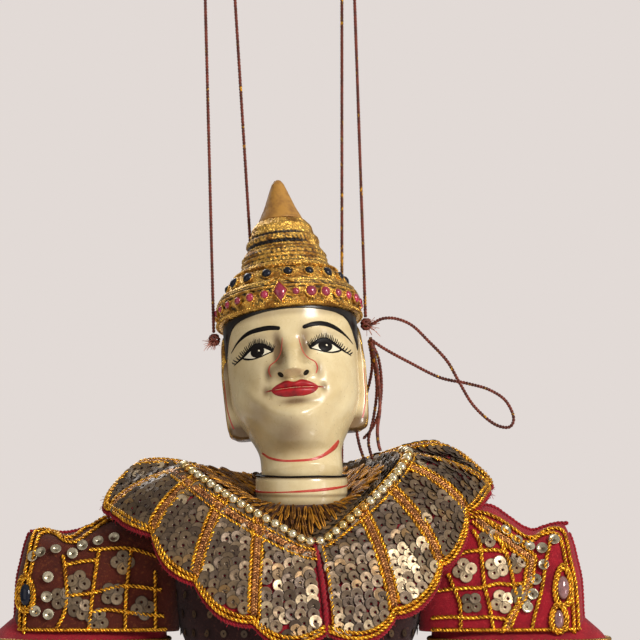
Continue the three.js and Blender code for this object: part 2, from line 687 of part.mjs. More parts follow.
function buildLeg(name, side) {
  const x = side * HIP.x;
  addPiece(puppet, `thigh_${name}`, limb(x, HIP.z, HIP.r, [
    [-180, 9.4], [-215, 8], [KNEE.z + KNEE.r + 0.5, 7.4],
  ]), 'wood');
  addPiece(puppet, `trouser_upper_${name}`, trouserUpper(x), 'maroon');
  addPiece(puppet, `shin_${name}`, limb(x, KNEE.z, KNEE.r, [[-265, 7.4], [-300, 6], [ANKLE_Z, 5.4]]), 'wood');
  addPiece(puppet, `trouser_lower_${name}`, trouserLower(x), 'maroon');
  addPiece(puppet, `foot_${name}`, foot(x), 'cream');
  addPiece(puppet, `hip_wing_${name}`, hipWing(side), 'sequin');
}

buildControl();
const head = buildHead();
buildStrings(head);
buildLooseCords();
buildTrunk();
buildArm('left', -1);
buildArm('right', 1);
buildLeg('left', -1);
buildLeg('right', 1);

export default root;
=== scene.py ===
# %% [markdown]
# # A strung court puppet
# A carved and painted head under a gilt crown, a stiff sequinned collar and winged sleeves, all
# hung on strings from a turned bar. The solids come from CAD as a fixed frame, and each cell here
# dresses one part of it. Blender works in metres, while a carver thinks in millimetres, so points
# are written in the puppet's own millimetres, with z = 0 at the seam of the neck, and are turned
# into the frame in one place.

# %% Load the frame
import math

import bmesh
import bpy
import numpy as np
from mathutils import Matrix, Vector


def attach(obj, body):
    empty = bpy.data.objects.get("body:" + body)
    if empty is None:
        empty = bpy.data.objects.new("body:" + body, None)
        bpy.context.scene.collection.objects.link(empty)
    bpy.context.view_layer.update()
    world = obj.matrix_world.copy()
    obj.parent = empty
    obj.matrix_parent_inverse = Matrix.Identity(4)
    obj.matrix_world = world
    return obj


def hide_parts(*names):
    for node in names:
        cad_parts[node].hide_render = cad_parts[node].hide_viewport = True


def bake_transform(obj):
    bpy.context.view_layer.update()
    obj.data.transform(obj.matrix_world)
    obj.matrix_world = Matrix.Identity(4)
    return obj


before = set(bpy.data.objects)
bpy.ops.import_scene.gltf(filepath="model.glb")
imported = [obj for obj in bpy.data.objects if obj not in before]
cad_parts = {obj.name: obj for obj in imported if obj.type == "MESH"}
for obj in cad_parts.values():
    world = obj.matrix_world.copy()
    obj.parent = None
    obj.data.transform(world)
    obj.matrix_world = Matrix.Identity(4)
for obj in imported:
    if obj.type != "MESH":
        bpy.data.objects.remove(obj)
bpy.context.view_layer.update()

# %% Millimetres to the frame
MM = 0.001
PUPPET = np.array([8.6, -14.0, -290.0])  # centre of the neck seam
NOD_POINT = np.array([1.0, 0.0, 5.0])  # the head nods about it
SIDES = {"left": -1, "right": 1}


def to_frame(points):
    return (np.asarray(points, float) + PUPPET) * MM


def turned(axis, degrees):
    return np.array(Matrix.Rotation(math.radians(degrees), 3, axis))


HEAD_TURN = turned("Y", -5) @ turned("X", -15)


def from_head(points):
    """Points carved in the head's own upright frame, tilted as the head hangs."""
    return (np.asarray(points, float) - [0, 0, NOD_POINT[2]]) @ HEAD_TURN.T + NOD_POINT


def smooth(a, b, t):
    s = np.clip((np.asarray(t, float) - a) / (b - a), 0, 1)
    return s * s * (3 - 2 * s)


def bump(distance, width):
    return np.exp(-((np.asarray(distance, float) / width) ** 2))


def unit(v):
    v = np.asarray(v, float)
    return v / np.maximum(np.linalg.norm(v, axis=-1, keepdims=True), 1e-9)


def around(count):
    """Angles right round a piece, one for each column."""
    return np.arange(count) * 2 * math.pi / count


def grid(x, y, z):
    return np.stack(np.broadcast_arrays(x, y, z), -1)


def oval(turn, half, front, back, power=2.0):
    """Sideways and forward places on an oval, pushed out towards a square by a power over 2."""
    s, c = np.sin(turn), np.cos(turn)
    return (np.sign(s) * np.abs(s) ** (2 / power) * half,
            -np.sign(c) * np.abs(c) ** (2 / power) * np.where(c > 0, front, back))


def walk(line):
    """How far along a line each of its points lies."""
    return np.concatenate([[0], np.cumsum(np.linalg.norm(np.diff(line, axis=0), axis=1))])


def paint(red, green, blue):
    """A colour as a painter names it, 0 to 255, in the linear values that a node wants."""
    channels = [c / 255 for c in (red, green, blue)]
    return tuple(c / 12.92 if c < 0.04045 else ((c + 0.055) / 1.055) ** 2.4 for c in channels) + (1,)


print("head leans", np.round(HEAD_TURN @ [0, 0, 1], 3))

# %% [markdown]
# ## Camera and light
# The picture was taken level with the chest from well back, so a long lens keeps the collar and
# the crown at one scale. One large soft lamp stands in front on the right, a weak one on the left,
# and a tall strip low on the right draws the long gloss along the jaw. The lamps give each colour
# at about its written value. The background is the colour of the world and the floor, not light.

# %% Camera
def link(name, data):
    made = bpy.data.objects.new(name, data)
    bpy.context.scene.collection.objects.link(made)
    return made


FRAME_WIDTH = 268.8  # mm across the picture at the puppet
CAMERA_BACK = 2400.0
SIGHT = np.array([17.4, -30.0, -224.5])
camera = link("camera", bpy.data.cameras.new("camera"))
camera.data.sensor_width = 36
camera.data.lens = 36 * CAMERA_BACK / FRAME_WIDTH
camera.location = (SIGHT - [0, CAMERA_BACK, 0]) * MM
camera.rotation_euler = (math.pi / 2, 0, 0)
bpy.context.scene.camera = camera
bpy.context.scene.view_settings.view_transform = "Standard"
print("lens", round(camera.data.lens), "mm")


# %% Nodes by name
def socket(node, key):
    by_id = {s.identifier: s for s in node.inputs}
    return by_id[key] if key in by_id else node.inputs[key]


def add_node(tree, kind, inputs=None, **settings):
    """Adds a node. Each input is a plain value or the socket that feeds it."""
    made = tree.nodes.new(kind)
    for key, value in settings.items():
        setattr(made, key, value)
    for key, value in (inputs or {}).items():
        if isinstance(value, bpy.types.NodeSocket):
            tree.links.new(value, socket(made, key))
        else:
            socket(made, key).default_value = value
    return made


def add_math(tree, operation, *values):
    return add_node(tree, "ShaderNodeMath", dict(enumerate(values)), operation=operation).outputs[0]


def add_vector(tree, operation, *values):
    made = add_node(tree, "ShaderNodeVectorMath", dict(enumerate(values)), operation=operation)
    return made.outputs["Vector"]


# %% Floor, backdrop colour and lamps
BACKDROP = paint(226, 218, 214)


def blank(holder):
    """The emptied node tree of a world or material."""
    holder.use_nodes = True
    holder.node_tree.nodes.clear()
    return holder.node_tree


def mixed(tree, share, first, second, output):
    both = add_node(tree, "ShaderNodeMixShader", {0: share, 1: first.outputs[0], 2: second.outputs[0]})
    add_node(tree, output, {0: both.outputs[0]})


def pale_world():
    world = bpy.data.worlds.new("studio")
    tree = blank(world)
    seen = add_node(tree, "ShaderNodeLightPath")
    shown = add_math(tree, "MAXIMUM", seen.outputs["Is Camera Ray"], seen.outputs["Is Transmission Ray"])
    way = add_node(tree, "ShaderNodeTexCoord").outputs["Generated"]
    toward = add_node(tree, "ShaderNodeVectorMath", {0: way, 1: (0.62, -0.42, 0.66)},
                      operation="DOT_PRODUCT")
    strength = add_node(tree, "ShaderNodeMapRange", {
        "Value": toward.outputs["Value"], "From Min": -0.5, "From Max": 0.9, "To Min": 0.16,
        "To Max": 0.62})
    light = add_node(tree, "ShaderNodeBackground",
                     {"Color": (1, 0.95, 0.89, 1), "Strength": strength.outputs[0]})
    back = add_node(tree, "ShaderNodeBackground", {"Color": BACKDROP, "Strength": 1})
    mixed(tree, shown, light, back, "ShaderNodeOutputWorld")
    bpy.context.scene.world = world


def lamp(name, place, size, watts, colour=(1, 1, 1)):
    """A soft lamp at a place in metres, aimed at the puppet's chest."""
    light = bpy.data.lights.new(name, "AREA")
    light.shape, light.size, light.size_y = "RECTANGLE", *size
    light.energy, light.color = watts, colour
    made = link(name, light)
    made.location = place
    aim = Vector(SIGHT * MM) - Vector(place)
    made.rotation_euler = aim.to_track_quat("-Z", "Y").to_euler()


def pale_floor(radius, height):
    """A round floor that takes the shadow near its middle and fades to the backdrop's colour."""
    mesh = bpy.data.meshes.new("floor")
    mesh.from_pydata([(radius * math.cos(a), radius * math.sin(a), height) for a in around(96)], [],
                     [range(96)])
    mesh.materials.append(bpy.data.materials.new("floor"))
    tree = blank(mesh.materials[0])
    place = add_node(tree, "ShaderNodeTexCoord").outputs["Object"]
    far = add_node(tree, "ShaderNodeVectorMath", {0: place}, operation="LENGTH").outputs["Value"]
    edge = add_node(tree, "ShaderNodeMapRange",
                    {"Value": far, "From Min": 0.3 * radius, "From Max": 0.95 * radius})
    matt = add_node(tree, "ShaderNodeBsdfDiffuse", {"Color": BACKDROP})
    even = add_node(tree, "ShaderNodeEmission", {"Color": BACKDROP, "Strength": 1})
    mixed(tree, edge.outputs[0], matt, even, "ShaderNodeOutputMaterial")
    link("floor", mesh)


pale_world()
pale_floor(1.5, -0.72)
lamp("key", (1.15, -1.35, 0.6), (0.6, 0.6), 30, (1, 0.96, 0.91))
lamp("fill", (-1.3, -1.2, 0.1), (1.2, 1.4), 3.5, (1, 0.95, 0.88))
lamp("jaw_strip", (1.25, -0.75, -0.75), (0.22, 1.1), 5)
lamp("rim", (-0.5, 1.3, 0.6), (1, 0.6), 9)
print("world and lamps ready")

# %% [markdown]
# ## A mesh from points
# Each piece is a grid of points that a formula places, closed into a skin with a top, an underside
# and edges. Blender needs faces that look outwards, so the skin's normals are worked out once,
# after its doubles are merged.


# %% Skins
def mended(mesh):
    """The mesh with its doubles merged and its faces turned outwards."""
    shell = bmesh.new()
    shell.from_mesh(mesh)
    bmesh.ops.remove_doubles(shell, verts=shell.verts, dist=1e-6)
    bmesh.ops.recalc_face_normals(shell, faces=shell.faces)
    shell.to_mesh(mesh)
    shell.free()
    return mesh


def new_piece(name, points, faces, finish):
    mesh = bpy.data.meshes.new(name)
    mesh.from_pydata(to_frame(points).tolist(), [], [list(map(int, f)) for f in faces])
    mended(mesh).materials.append(finish)
    mesh.shade_smooth()
    return link(name, mesh)


def numbered(rows, columns, closed):
    """The points' numbers, row by row; a closed grid ends in its first row again."""
    ids = np.arange(rows * columns).reshape(rows, columns)
    return np.vstack([ids, ids[:1]]) if closed else ids


def grid_faces(rows, columns, closed=False, start=0):
    ids = start + numbered(rows, columns, closed)
    return np.stack([ids[:-1, :-1], ids[1:, :-1], ids[1:, 1:], ids[:-1, 1:]], -1).reshape(-1, 4).tolist()


def skin(top, under, closed=False):
    """Points and faces of the closed skin between two grids of points."""
    rows, columns = top.shape[:2]
    count = rows * columns
    points = np.concatenate([top.reshape(-1, 3), under.reshape(-1, 3)])
    faces = grid_faces(rows, columns, closed) + grid_faces(rows, columns, closed, count)
    ids = numbered(rows, columns, closed)
    edges = [ids[:, 0], ids[:, -1]] + ([] if closed else [ids[0], ids[-1]])
    for edge in edges:
        faces += [[a, b, b + count, a + count] for a, b in zip(edge[:-1], edge[1:])]
    return points, faces


def lofted(rings):
    """Points and faces of a stack of closed rings with both ends filled."""
    rings = np.asarray(rings, float)
    rows, columns = rings.shape[:2]
    points = rings.transpose(1, 0, 2).reshape(-1, 3)
    faces = grid_faces(columns, rows, True)
    for end in (0, rows - 1):
        hub = len(points)
        points = np.vstack([points, rings[end].mean(0)])
        ids = np.arange(columns) * rows + end
        faces += [[a, b, hub] for a, b in zip(ids, np.roll(ids, -1))]
    return points, faces


def normals_of(surface, u, v, step=0.002):
    """Unit normals of a surface(u, v), on the side of along x across."""
    along = surface(u + step, v) - surface(u - step, v)
    across = surface(u, v + step) - surface(u, v - step)
    return unit(np.cross(along, across))


def settle(piece, body, replaced=()):
    """The piece rides on a body and stands for CAD nodes."""
    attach(piece, body)
    if replaced:
        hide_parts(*replaced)
    print(f"{piece.name}: {len(piece.data.polygons)} faces on {body}")
    return piece


# %% [markdown]
# ## Finishes
# The head is gesso and enamel rubbed for years, the crown is gold leaf pressed over lacquer
# relief, and the costume is metal thread, tarnished sequins and cotton. Two effects are shared by
# most of them, so they are node groups: blotches for age and stains, and in cloth for painted
# shade of small folds, and a fine grain for fibres and crumpled leaf. Both only put out masks and
# heights. The shader with its plain numbers stays in each material.


# %% Shared effects
def noise(tree, place, scale, detail, rough=0.5):
    return add_node(tree, "ShaderNodeTexNoise", {
        "Vector": place, "Scale": scale, "Detail": detail, "Roughness": rough}).outputs["Fac"]


def ranged(tree, value, low, high, to_high=1.0, to_low=0.0):
    return add_node(tree, "ShaderNodeMapRange", {
        "Value": value, "From Min": low, "From Max": high, "To Min": to_low, "To Max": to_high}).outputs[0]


def effect_group(name, inputs, outputs):
    tree = bpy.data.node_groups.new(name, "ShaderNodeTree")
    for title, value in inputs.items():
        kind = "Float" if isinstance(value, float) else "Vector"
        tree.interface.new_socket(title, in_out="INPUT",
                                  socket_type="NodeSocket" + kind).default_value = value
    for title in outputs:
        tree.interface.new_socket(title, in_out="OUTPUT", socket_type="NodeSocketFloat")
    place = add_node(tree, "ShaderNodeTexCoord").outputs["Object"]
    return tree, place, tree.nodes.new("NodeGroupInput").outputs, tree.nodes.new("NodeGroupOutput").inputs


def blotches():
    """Broad uneven patches and small dark specks, as masks from 0 to 1."""
    tree, place, given, out = effect_group(
        "blotches", {"Scale": 90.0, "Spread": 0.5, "Specks": 0.3}, ("Patches", "Specks"))
    low = add_math(tree, "SUBTRACT", 0.62, add_math(tree, "MULTIPLY", given["Spread"], 0.3))
    broad = noise(tree, place, given["Scale"], 6, 0.62)
    tree.links.new(ranged(tree, broad, low, 0.72), out["Patches"])
    edge = add_math(tree, "SUBTRACT", 0.82, add_math(tree, "MULTIPLY", given["Specks"], 0.3))
    fine = noise(tree, place, add_math(tree, "MULTIPLY", given["Scale"], 14), 3)
    tree.links.new(ranged(tree, fine, edge, add_math(tree, "ADD", edge, 0.05)), out["Specks"])
    return tree


def grain():
    """Fine fibres or crumples: a height for a bump and a tone from 0 to 1."""
    tree, place, given, out = effect_group("grain", {"Scale": 1500.0, "Stretch": (1, 1, 1)},
                                           ("Height", "Tone"))
    drawn = add_vector(tree, "MULTIPLY", place, given["Stretch"])
    tree.links.new(noise(tree, drawn, given["Scale"], 4, 0.6), out["Height"])
    tree.links.new(noise(tree, drawn, add_math(tree, "MULTIPLY", given["Scale"], 0.31), 2), out["Tone"])
    return tree


BLOTCHES, GRAIN = blotches(), grain()
print("shared effects:", BLOTCHES.name, GRAIN.name)


# %% A finish and its layers
class Finish:
    """One material: a Principled shader whose colour is laid on in layers."""

    def __init__(self, name, colour, roughness, metallic=0.0, **sockets):
        self.material = bpy.data.materials.new(name)
        self.material.use_nodes = True
        self.tree = self.material.node_tree
        self.shader = self.tree.nodes["Principled BSDF"]
        self.colour = paint(*colour)
        plain = {"Base_Color": self.colour, "Roughness": roughness, "Metallic": metallic, **sockets}
        for key, value in plain.items():
            self.shader.inputs[key.replace("_", " ")].default_value = value

    def effect(self, group, **inputs):
        return add_node(self.tree, "ShaderNodeGroup", inputs, node_tree=group).outputs

    def kept(self, name):
        """A value stored on the mesh's points."""
        return add_node(self.tree, "ShaderNodeAttribute", attribute_name=name).outputs["Fac"]

    def layer(self, colour, mask, low=0, high=1, most=1.0):
        """Lays a colour over what is there as the mask goes from low to high."""
        made = add_node(self.tree, "ShaderNodeMix", {
            "Factor_Float": ranged(self.tree, mask, low, high, most), "A_Color": self.colour,
            "B_Color": paint(*colour)}, data_type="RGBA")
        self.colour = made.outputs[2]
        return self.feed("Base Color", self.colour)

    def feed(self, name, value):
        self.tree.links.new(value, self.shader.inputs[name])
        return self

    def vary(self, name, value, low, high, to_low, to_high):
        return self.feed(name, ranged(self.tree, value, low, high, to_high, to_low))

    def bumps(self, height, strength, distance):
        """The last step: a bump, and the material is done."""
        made = add_node(self.tree, "ShaderNodeBump",
                        {"Height": height, "Strength": strength, "Distance": distance})
        return self.feed("Normal", made.outputs[0]).material

    def grainy(self, scale, strength, distance):
        return self.bumps(self.effect(GRAIN, Scale=scale)["Height"], strength, distance)


def face_enamel():
    f = Finish("face_enamel", (222, 205, 162), 0.3, Coat_Weight=0.4, Coat_Roughness=0.19)
    age = f.effect(BLOTCHES, Scale=75.0, Spread=0.95, Specks=0.42)
    f.layer((188, 162, 108), age["Patches"], most=0.7)
    # brown from the hollow value: old varnish in the hollows, and painted shade there and on the side away from the
    # light
    f.layer((100, 70, 36), f.kept("hollow"), 0.03, 0.9, 0.9)
    f.layer((108, 76, 46), age["Specks"], most=0.6)
    f.vary("Roughness", age["Patches"], 0, 1, 0.2, 0.38)
    return f.grainy(260.0, 0.12, 0.0004)


def plain_paint(name, colour, stain, roughness, coat=0.3, amount=0.5, shine=0.5):
    f = Finish(name, colour, roughness, Coat_Weight=coat, Coat_Roughness=0.15, Specular_IOR_Level=shine)
    wear = f.effect(BLOTCHES, Scale=260.0, Spread=0.6, Specks=0.3)
    f.layer(stain, wear["Patches"], most=amount)
    return f.grainy(900.0, 0.15, 0.0002)


def gold_leaf():
    f = Finish("gold_leaf", (255, 204, 100), 0.3, 0.85)
    crumple = f.effect(GRAIN, Scale=640.0)
    wear = f.effect(BLOTCHES, Scale=190.0, Spread=0.7, Specks=0.6)
    f.layer((134, 78, 22), crumple["Tone"], 0.45, 0.62, 0.75)
    f.layer((112, 60, 26), wear["Patches"], most=0.5)
    f.layer((20, 13, 10), f.kept("recess"))
    f.vary("Metallic", f.kept("recess"), 0, 1, 0.88, 0.1)
    f.vary("Roughness", crumple["Tone"], 0.3, 0.7, 0.14, 0.42)
    return f.bumps(crumple["Height"], 1.0, 0.0012)


def metal_thread(name, bright, dark, metallic=0.8, roughness=0.34, scale=1300.0, vary=0.35):
    f = Finish(name, bright, roughness, metallic)
    fibre = f.effect(GRAIN, Scale=scale)
    f.layer(dark, fibre["Tone"], 0.38, 0.62, 0.75)
    f.layer(dark, f.kept("tone"), most=vary)
    return f.bumps(fibre["Height"], 0.5, 0.0003)


def sequin_metal():
    f = Finish("sequin_metal", (84, 68, 54), 0.4, 0.5)
    f.layer((118, 98, 74), f.kept("tone"), 0.1, 0.7)
    f.layer((140, 108, 66), f.kept("tone"), 0.8, 0.98)
    # a painted highlight, pale where the shine value is set
    f.layer((220, 196, 158), f.kept("shine"))
    # dark at each disc's edge and hole: tarnish, and painted shade where the next disc overlaps
    f.layer((30, 20, 16), f.kept("rim"), most=0.85)
    stain = f.effect(BLOTCHES, Scale=520.0, Spread=0.7, Specks=0.6)
    f.layer((58, 44, 32), stain["Patches"], most=0.6)
    f.vary("Roughness", stain["Patches"], 0, 1, 0.36, 0.56)
    return f.grainy(1400.0, 0.2, 0.0002)


def cloth(name, colour, dark, light):
    f = Finish(name, colour, 0.9, Sheen_Weight=0.1, Sheen_Roughness=0.5, Specular_IOR_Level=0.2)
    weave = f.effect(GRAIN, Scale=2600.0)
    # the darker blotches stand for the shade of small folds in the cloth: painted shade
    folds = f.effect(BLOTCHES, Scale=120.0, Spread=0.7, Specks=0.5)
    f.layer(dark, folds["Patches"], most=0.6)
    f.layer(light, weave["Tone"], 0.55, 0.75, 0.45)
    return f.bumps(weave["Height"], 0.7, 0.0006)


def string_thread():
    f = Finish("string_thread", (122, 54, 38), 0.6, 0.1)
    fibre = f.effect(GRAIN, Scale=900.0)
    f.layer((158, 88, 70), f.kept("tone"), 0.2, 1, 0.7)
    f.layer((62, 26, 20), fibre["Tone"], 0.4, 0.6, 0.8)
    f.layer((214, 158, 48), fibre["Tone"], 0.64, 0.68)
    f.vary("Metallic", fibre["Tone"], 0.64, 0.68, 0.1, 0.85)
    return f.bumps(fibre["Height"], 0.6, 0.0003)


def glass(name, colour, deep, roughness=0.07, coat=1.0):
    f = Finish(name, colour, roughness, 0.15, Coat_Weight=coat, Coat_Roughness=0.04,
               Specular_IOR_Level=0.5 * coat)
    inside = f.effect(BLOTCHES, Scale=420.0, Spread=0.8, Specks=0.2)
    f.layer(deep, inside["Patches"], most=0.7)
    f.layer(deep, f.kept("tone"), 0.3, 1, 0.6)
    return f.grainy(300.0, 0.08, 0.0003)


def bead_pearl():
    f = Finish("bead_pearl", (226, 214, 178), 0.16, 0.92, Coat_Weight=0.5, Coat_Roughness=0.06)
    f.layer((206, 172, 84), f.kept("tone"), 0.45, 0.75, 0.75)
    f.layer((205, 140, 20), f.kept("tone"), 0.82, 0.9, 0.7)
    stain = f.effect(BLOTCHES, Scale=700.0, Spread=0.6, Specks=0.5)
    f.layer((150, 112, 62), stain["Patches"], most=0.4)
    return f.grainy(600.0, 0.1, 0.0002)


def turned_wood():
    f = Finish("turned_wood", (126, 82, 46), 0.42, Coat_Weight=0.2, Coat_Roughness=0.3)
    lines = f.effect(GRAIN, Scale=420.0, Stretch=(0.12, 1, 1))
    f.layer((84, 50, 26), lines["Tone"], 0.4, 0.65, 0.7)
    f.layer((70, 42, 24), f.effect(BLOTCHES, Scale=60.0)["Patches"], most=0.4)
    return f.bumps(lines["Height"], 0.3, 0.0004)


FACE = face_enamel()
BLACK = plain_paint("black_lacquer", (22, 18, 18), (46, 40, 38), 0.3, 0.1, 0.35, 0.25)
INK = plain_paint("brow_ink", (16, 12, 12), (34, 27, 24), 0.4, 0.0, 0.3, 0.12)
WHITE = plain_paint("eye_white", (228, 220, 196), (206, 192, 158), 0.28)
LIP = plain_paint("lip_red", (164, 12, 22), (84, 6, 16), 0.38, 0.15, 0.85, 0.35)
LINE = plain_paint("line_red", (184, 52, 40), (206, 110, 84), 0.4, 0.2, 0.5)
LEAF = gold_leaf()
OCHRE = plain_paint("worn_ochre", (172, 124, 50), (122, 80, 34), 0.5, 0.1, 0.85)
RUBY = glass("ruby_glass", (196, 28, 72), (78, 10, 38))
NIGHT = glass("night_glass", (20, 26, 44), (8, 9, 14), coat=0.35)
CLEAR = glass("smoky_glass", (150, 104, 104), (64, 38, 44), 0.04)
GOLD = metal_thread("gold_thread", (248, 186, 52), (126, 66, 16), 0.8, 0.27)
COPPER = metal_thread("copper_braid", (226, 160, 92), (92, 44, 24), 0.7, 0.3, 1500.0, 0.8)
BULLION = metal_thread("bullion_loops", (206, 142, 38), (64, 32, 14), 0.7, 0.36, vary=0.85)
SEQUIN = sequin_metal()
SILVER = metal_thread("cup_silver", (206, 196, 170), (112, 98, 80), 0.8, 0.25, 700.0)
RED = cloth("red_cotton", (152, 22, 38), (88, 12, 24), (192, 56, 60))
# the red cotton darkened and browned as painted shade, for the left wing away from the light
SHADED_RED = cloth("shaded_red_cotton", (84, 32, 20), (44, 16, 12), (134, 76, 36))
DARK = cloth("dark_cotton", (50, 28, 28), (24, 14, 16), (92, 58, 46))
GROUND = cloth("brown_ground", (74, 44, 28), (36, 20, 14), (124, 82, 40))
STRING = string_thread()
FRAY = cloth("frayed_pink", (196, 128, 108), (150, 78, 62), (226, 176, 156))
PEARL = bead_pearl()
WOOD = turned_wood()
BRASS = metal_thread("old_brass", (204, 160, 84), (132, 94, 44), 0.9, 0.3, 300.0)
print("finishes:", len(bpy.data.materials))

# %% [markdown]
# ## Sewing and twisting
# Hundreds of sequins, beads and stones are sewn one by one through a hole in the middle, so each
# lies on its own knot and leans a little its own way. One node tree lays such a piece on every
# point, faced by the point's own directions, and another twists or plaits strands along a line.
# A tree's result is kept as a plain mesh, so the costume is real geometry that can be packed.


# %% Node trees as makers
def new_tree(name, inputs):
    """A tree with named inputs, each given as its plain start value or as a kind of socket."""
    tree = bpy.data.node_groups.new(name, "GeometryNodeTree")
    tree.interface.new_socket("Geometry", in_out="INPUT", socket_type="NodeSocketGeometry")
    for title, value in inputs.items():
        kind = {float: "Float", int: "Int"}.get(type(value), value)
        made = tree.interface.new_socket(title, in_out="INPUT", socket_type=f"NodeSocket{kind}")
        if kind != value:
            made.default_value = value
    tree.interface.new_socket("Geometry", in_out="OUTPUT", socket_type="NodeSocketGeometry")
    return tree, tree.nodes.new("NodeGroupInput").outputs, tree.nodes.new("NodeGroupOutput").inputs


def read(tree, name, kind="FLOAT"):
    made = add_node(tree, "GeometryNodeInputNamedAttribute", {"Name": name}, data_type=kind)
    return made.outputs["Attribute"]


def finished(tree, made, given, out):
    done = add_node(tree, "GeometryNodeSetMaterial",
                    {"Geometry": made.outputs[0], "Material": given["Finish"]})
    tree.links.new(done.outputs[0], out["Geometry"])
    return tree


def spread_by(tree, seed, salt):
    """A random number from -1 to 1 for each point or instance."""
    return add_node(tree, "FunctionNodeRandomValue", {
        "Min_001": -1.0, "Max_001": 1.0, "Seed": add_math(tree, "ADD", seed, salt)},
        data_type="FLOAT").outputs[1]


def grow(tree, name, points, edges=(), values=None, flat=False, **inputs):
    """Runs a tree on points or lines in puppet millimetres and keeps the result as a plain piece."""
    mesh = bpy.data.meshes.new(name)
    mesh.from_pydata(to_frame(points).tolist(), [list(map(int, e)) for e in edges], [])
    for key, data in (values or {}).items():
        data = np.asarray(data, np.float32)
        kind, field = ("FLOAT_VECTOR", "vector") if data.ndim == 2 else ("FLOAT", "value")
        mesh.attributes.new(key, kind, "POINT").data.foreach_set(field, data.ravel())
    source = link(name + "_points", mesh)
    modifier = source.modifiers.new(name, "NODES")
    modifier.node_group = tree
    for item in tree.interface.items_tree:
        if item.in_out == "INPUT" and item.name in inputs:
            modifier[item.identifier] = inputs[item.name]
    evaluated = source.evaluated_get(bpy.context.evaluated_depsgraph_get())
    kept = bpy.data.meshes.new_from_object(evaluated)
    if not flat:
        kept.shade_smooth()
    made = link(name, kept)
    source.modifiers.clear()
    bpy.data.objects.remove(source)
    return made


# %% The tree that sews on
def sewing_tree():
    tree, given, out = new_tree(
        "sew_on", {"Shape": "Object", "Lean": 0.0, "Jitter": 0.05, "Seed": 1, "Finish": "Material"})
    facing = add_node(tree, "FunctionNodeAxesToRotation", {
        "Primary Axis": read(tree, "out", "FLOAT_VECTOR"),
        "Secondary Axis": read(tree, "along", "FLOAT_VECTOR"),
    }, primary_axis="Z", secondary_axis="X").outputs[0]
    seed = given["Seed"]
    tilts = [add_math(tree, "MULTIPLY", spread_by(tree, seed, salt), given["Jitter"]) for salt in (11, 23,
                                                                                                   37)]
    leaning = add_math(tree, "ADD", tilts[1], given["Lean"])
    turn = add_node(tree, "ShaderNodeCombineXYZ", {0: tilts[0], 1: leaning, 2: tilts[2]}).outputs[0]
    local = add_node(tree, "FunctionNodeEulerToRotation", {"Euler": turn}).outputs[0]
    placed = add_node(tree, "FunctionNodeRotateRotation", {
        "Rotation": facing, "Rotate By": local}, rotation_space="LOCAL").outputs[0]
    shape = add_node(tree, "GeometryNodeObjectInfo", {"Object": given["Shape"]}).outputs["Geometry"]
    sewn = add_node(tree, "GeometryNodeInstanceOnPoints", {
        "Points": given["Geometry"], "Instance": shape, "Rotation": placed, "Scale": read(tree, "size")})
    tone = add_math(tree, "MULTIPLY_ADD", spread_by(tree, seed, 51), 0.5, 0.5)
    toned = add_node(tree, "GeometryNodeStoreNamedAttribute", {
        "Geometry": sewn.outputs[0], "Name": "tone", "Value": tone}, data_type="FLOAT", domain="INSTANCE")
    real = add_node(tree, "GeometryNodeRealizeInstances", {"Geometry": toned.outputs[0]})
    return finished(tree, real, given, out)


SEW_ON = sewing_tree()


def sew(name, shape, points, out, along, finish, size=1.0, lean=0.0, jitter=0.05, seed=1, shine=0.0):
    points = np.asarray(points, float)
    sizes, painted_highlights = (np.broadcast_to(np.asarray(value, float), len(points)) for value in (size, shine))
    values = {"out": unit(out), "along": unit(along), "size": sizes, "shine": painted_highlights}
    return grow(SEW_ON, name, points, values=values, flat=shape.name.startswith("sequin"), Shape=shape,
                Lean=float(lean), Jitter=float(jitter), Seed=seed, Finish=finish)


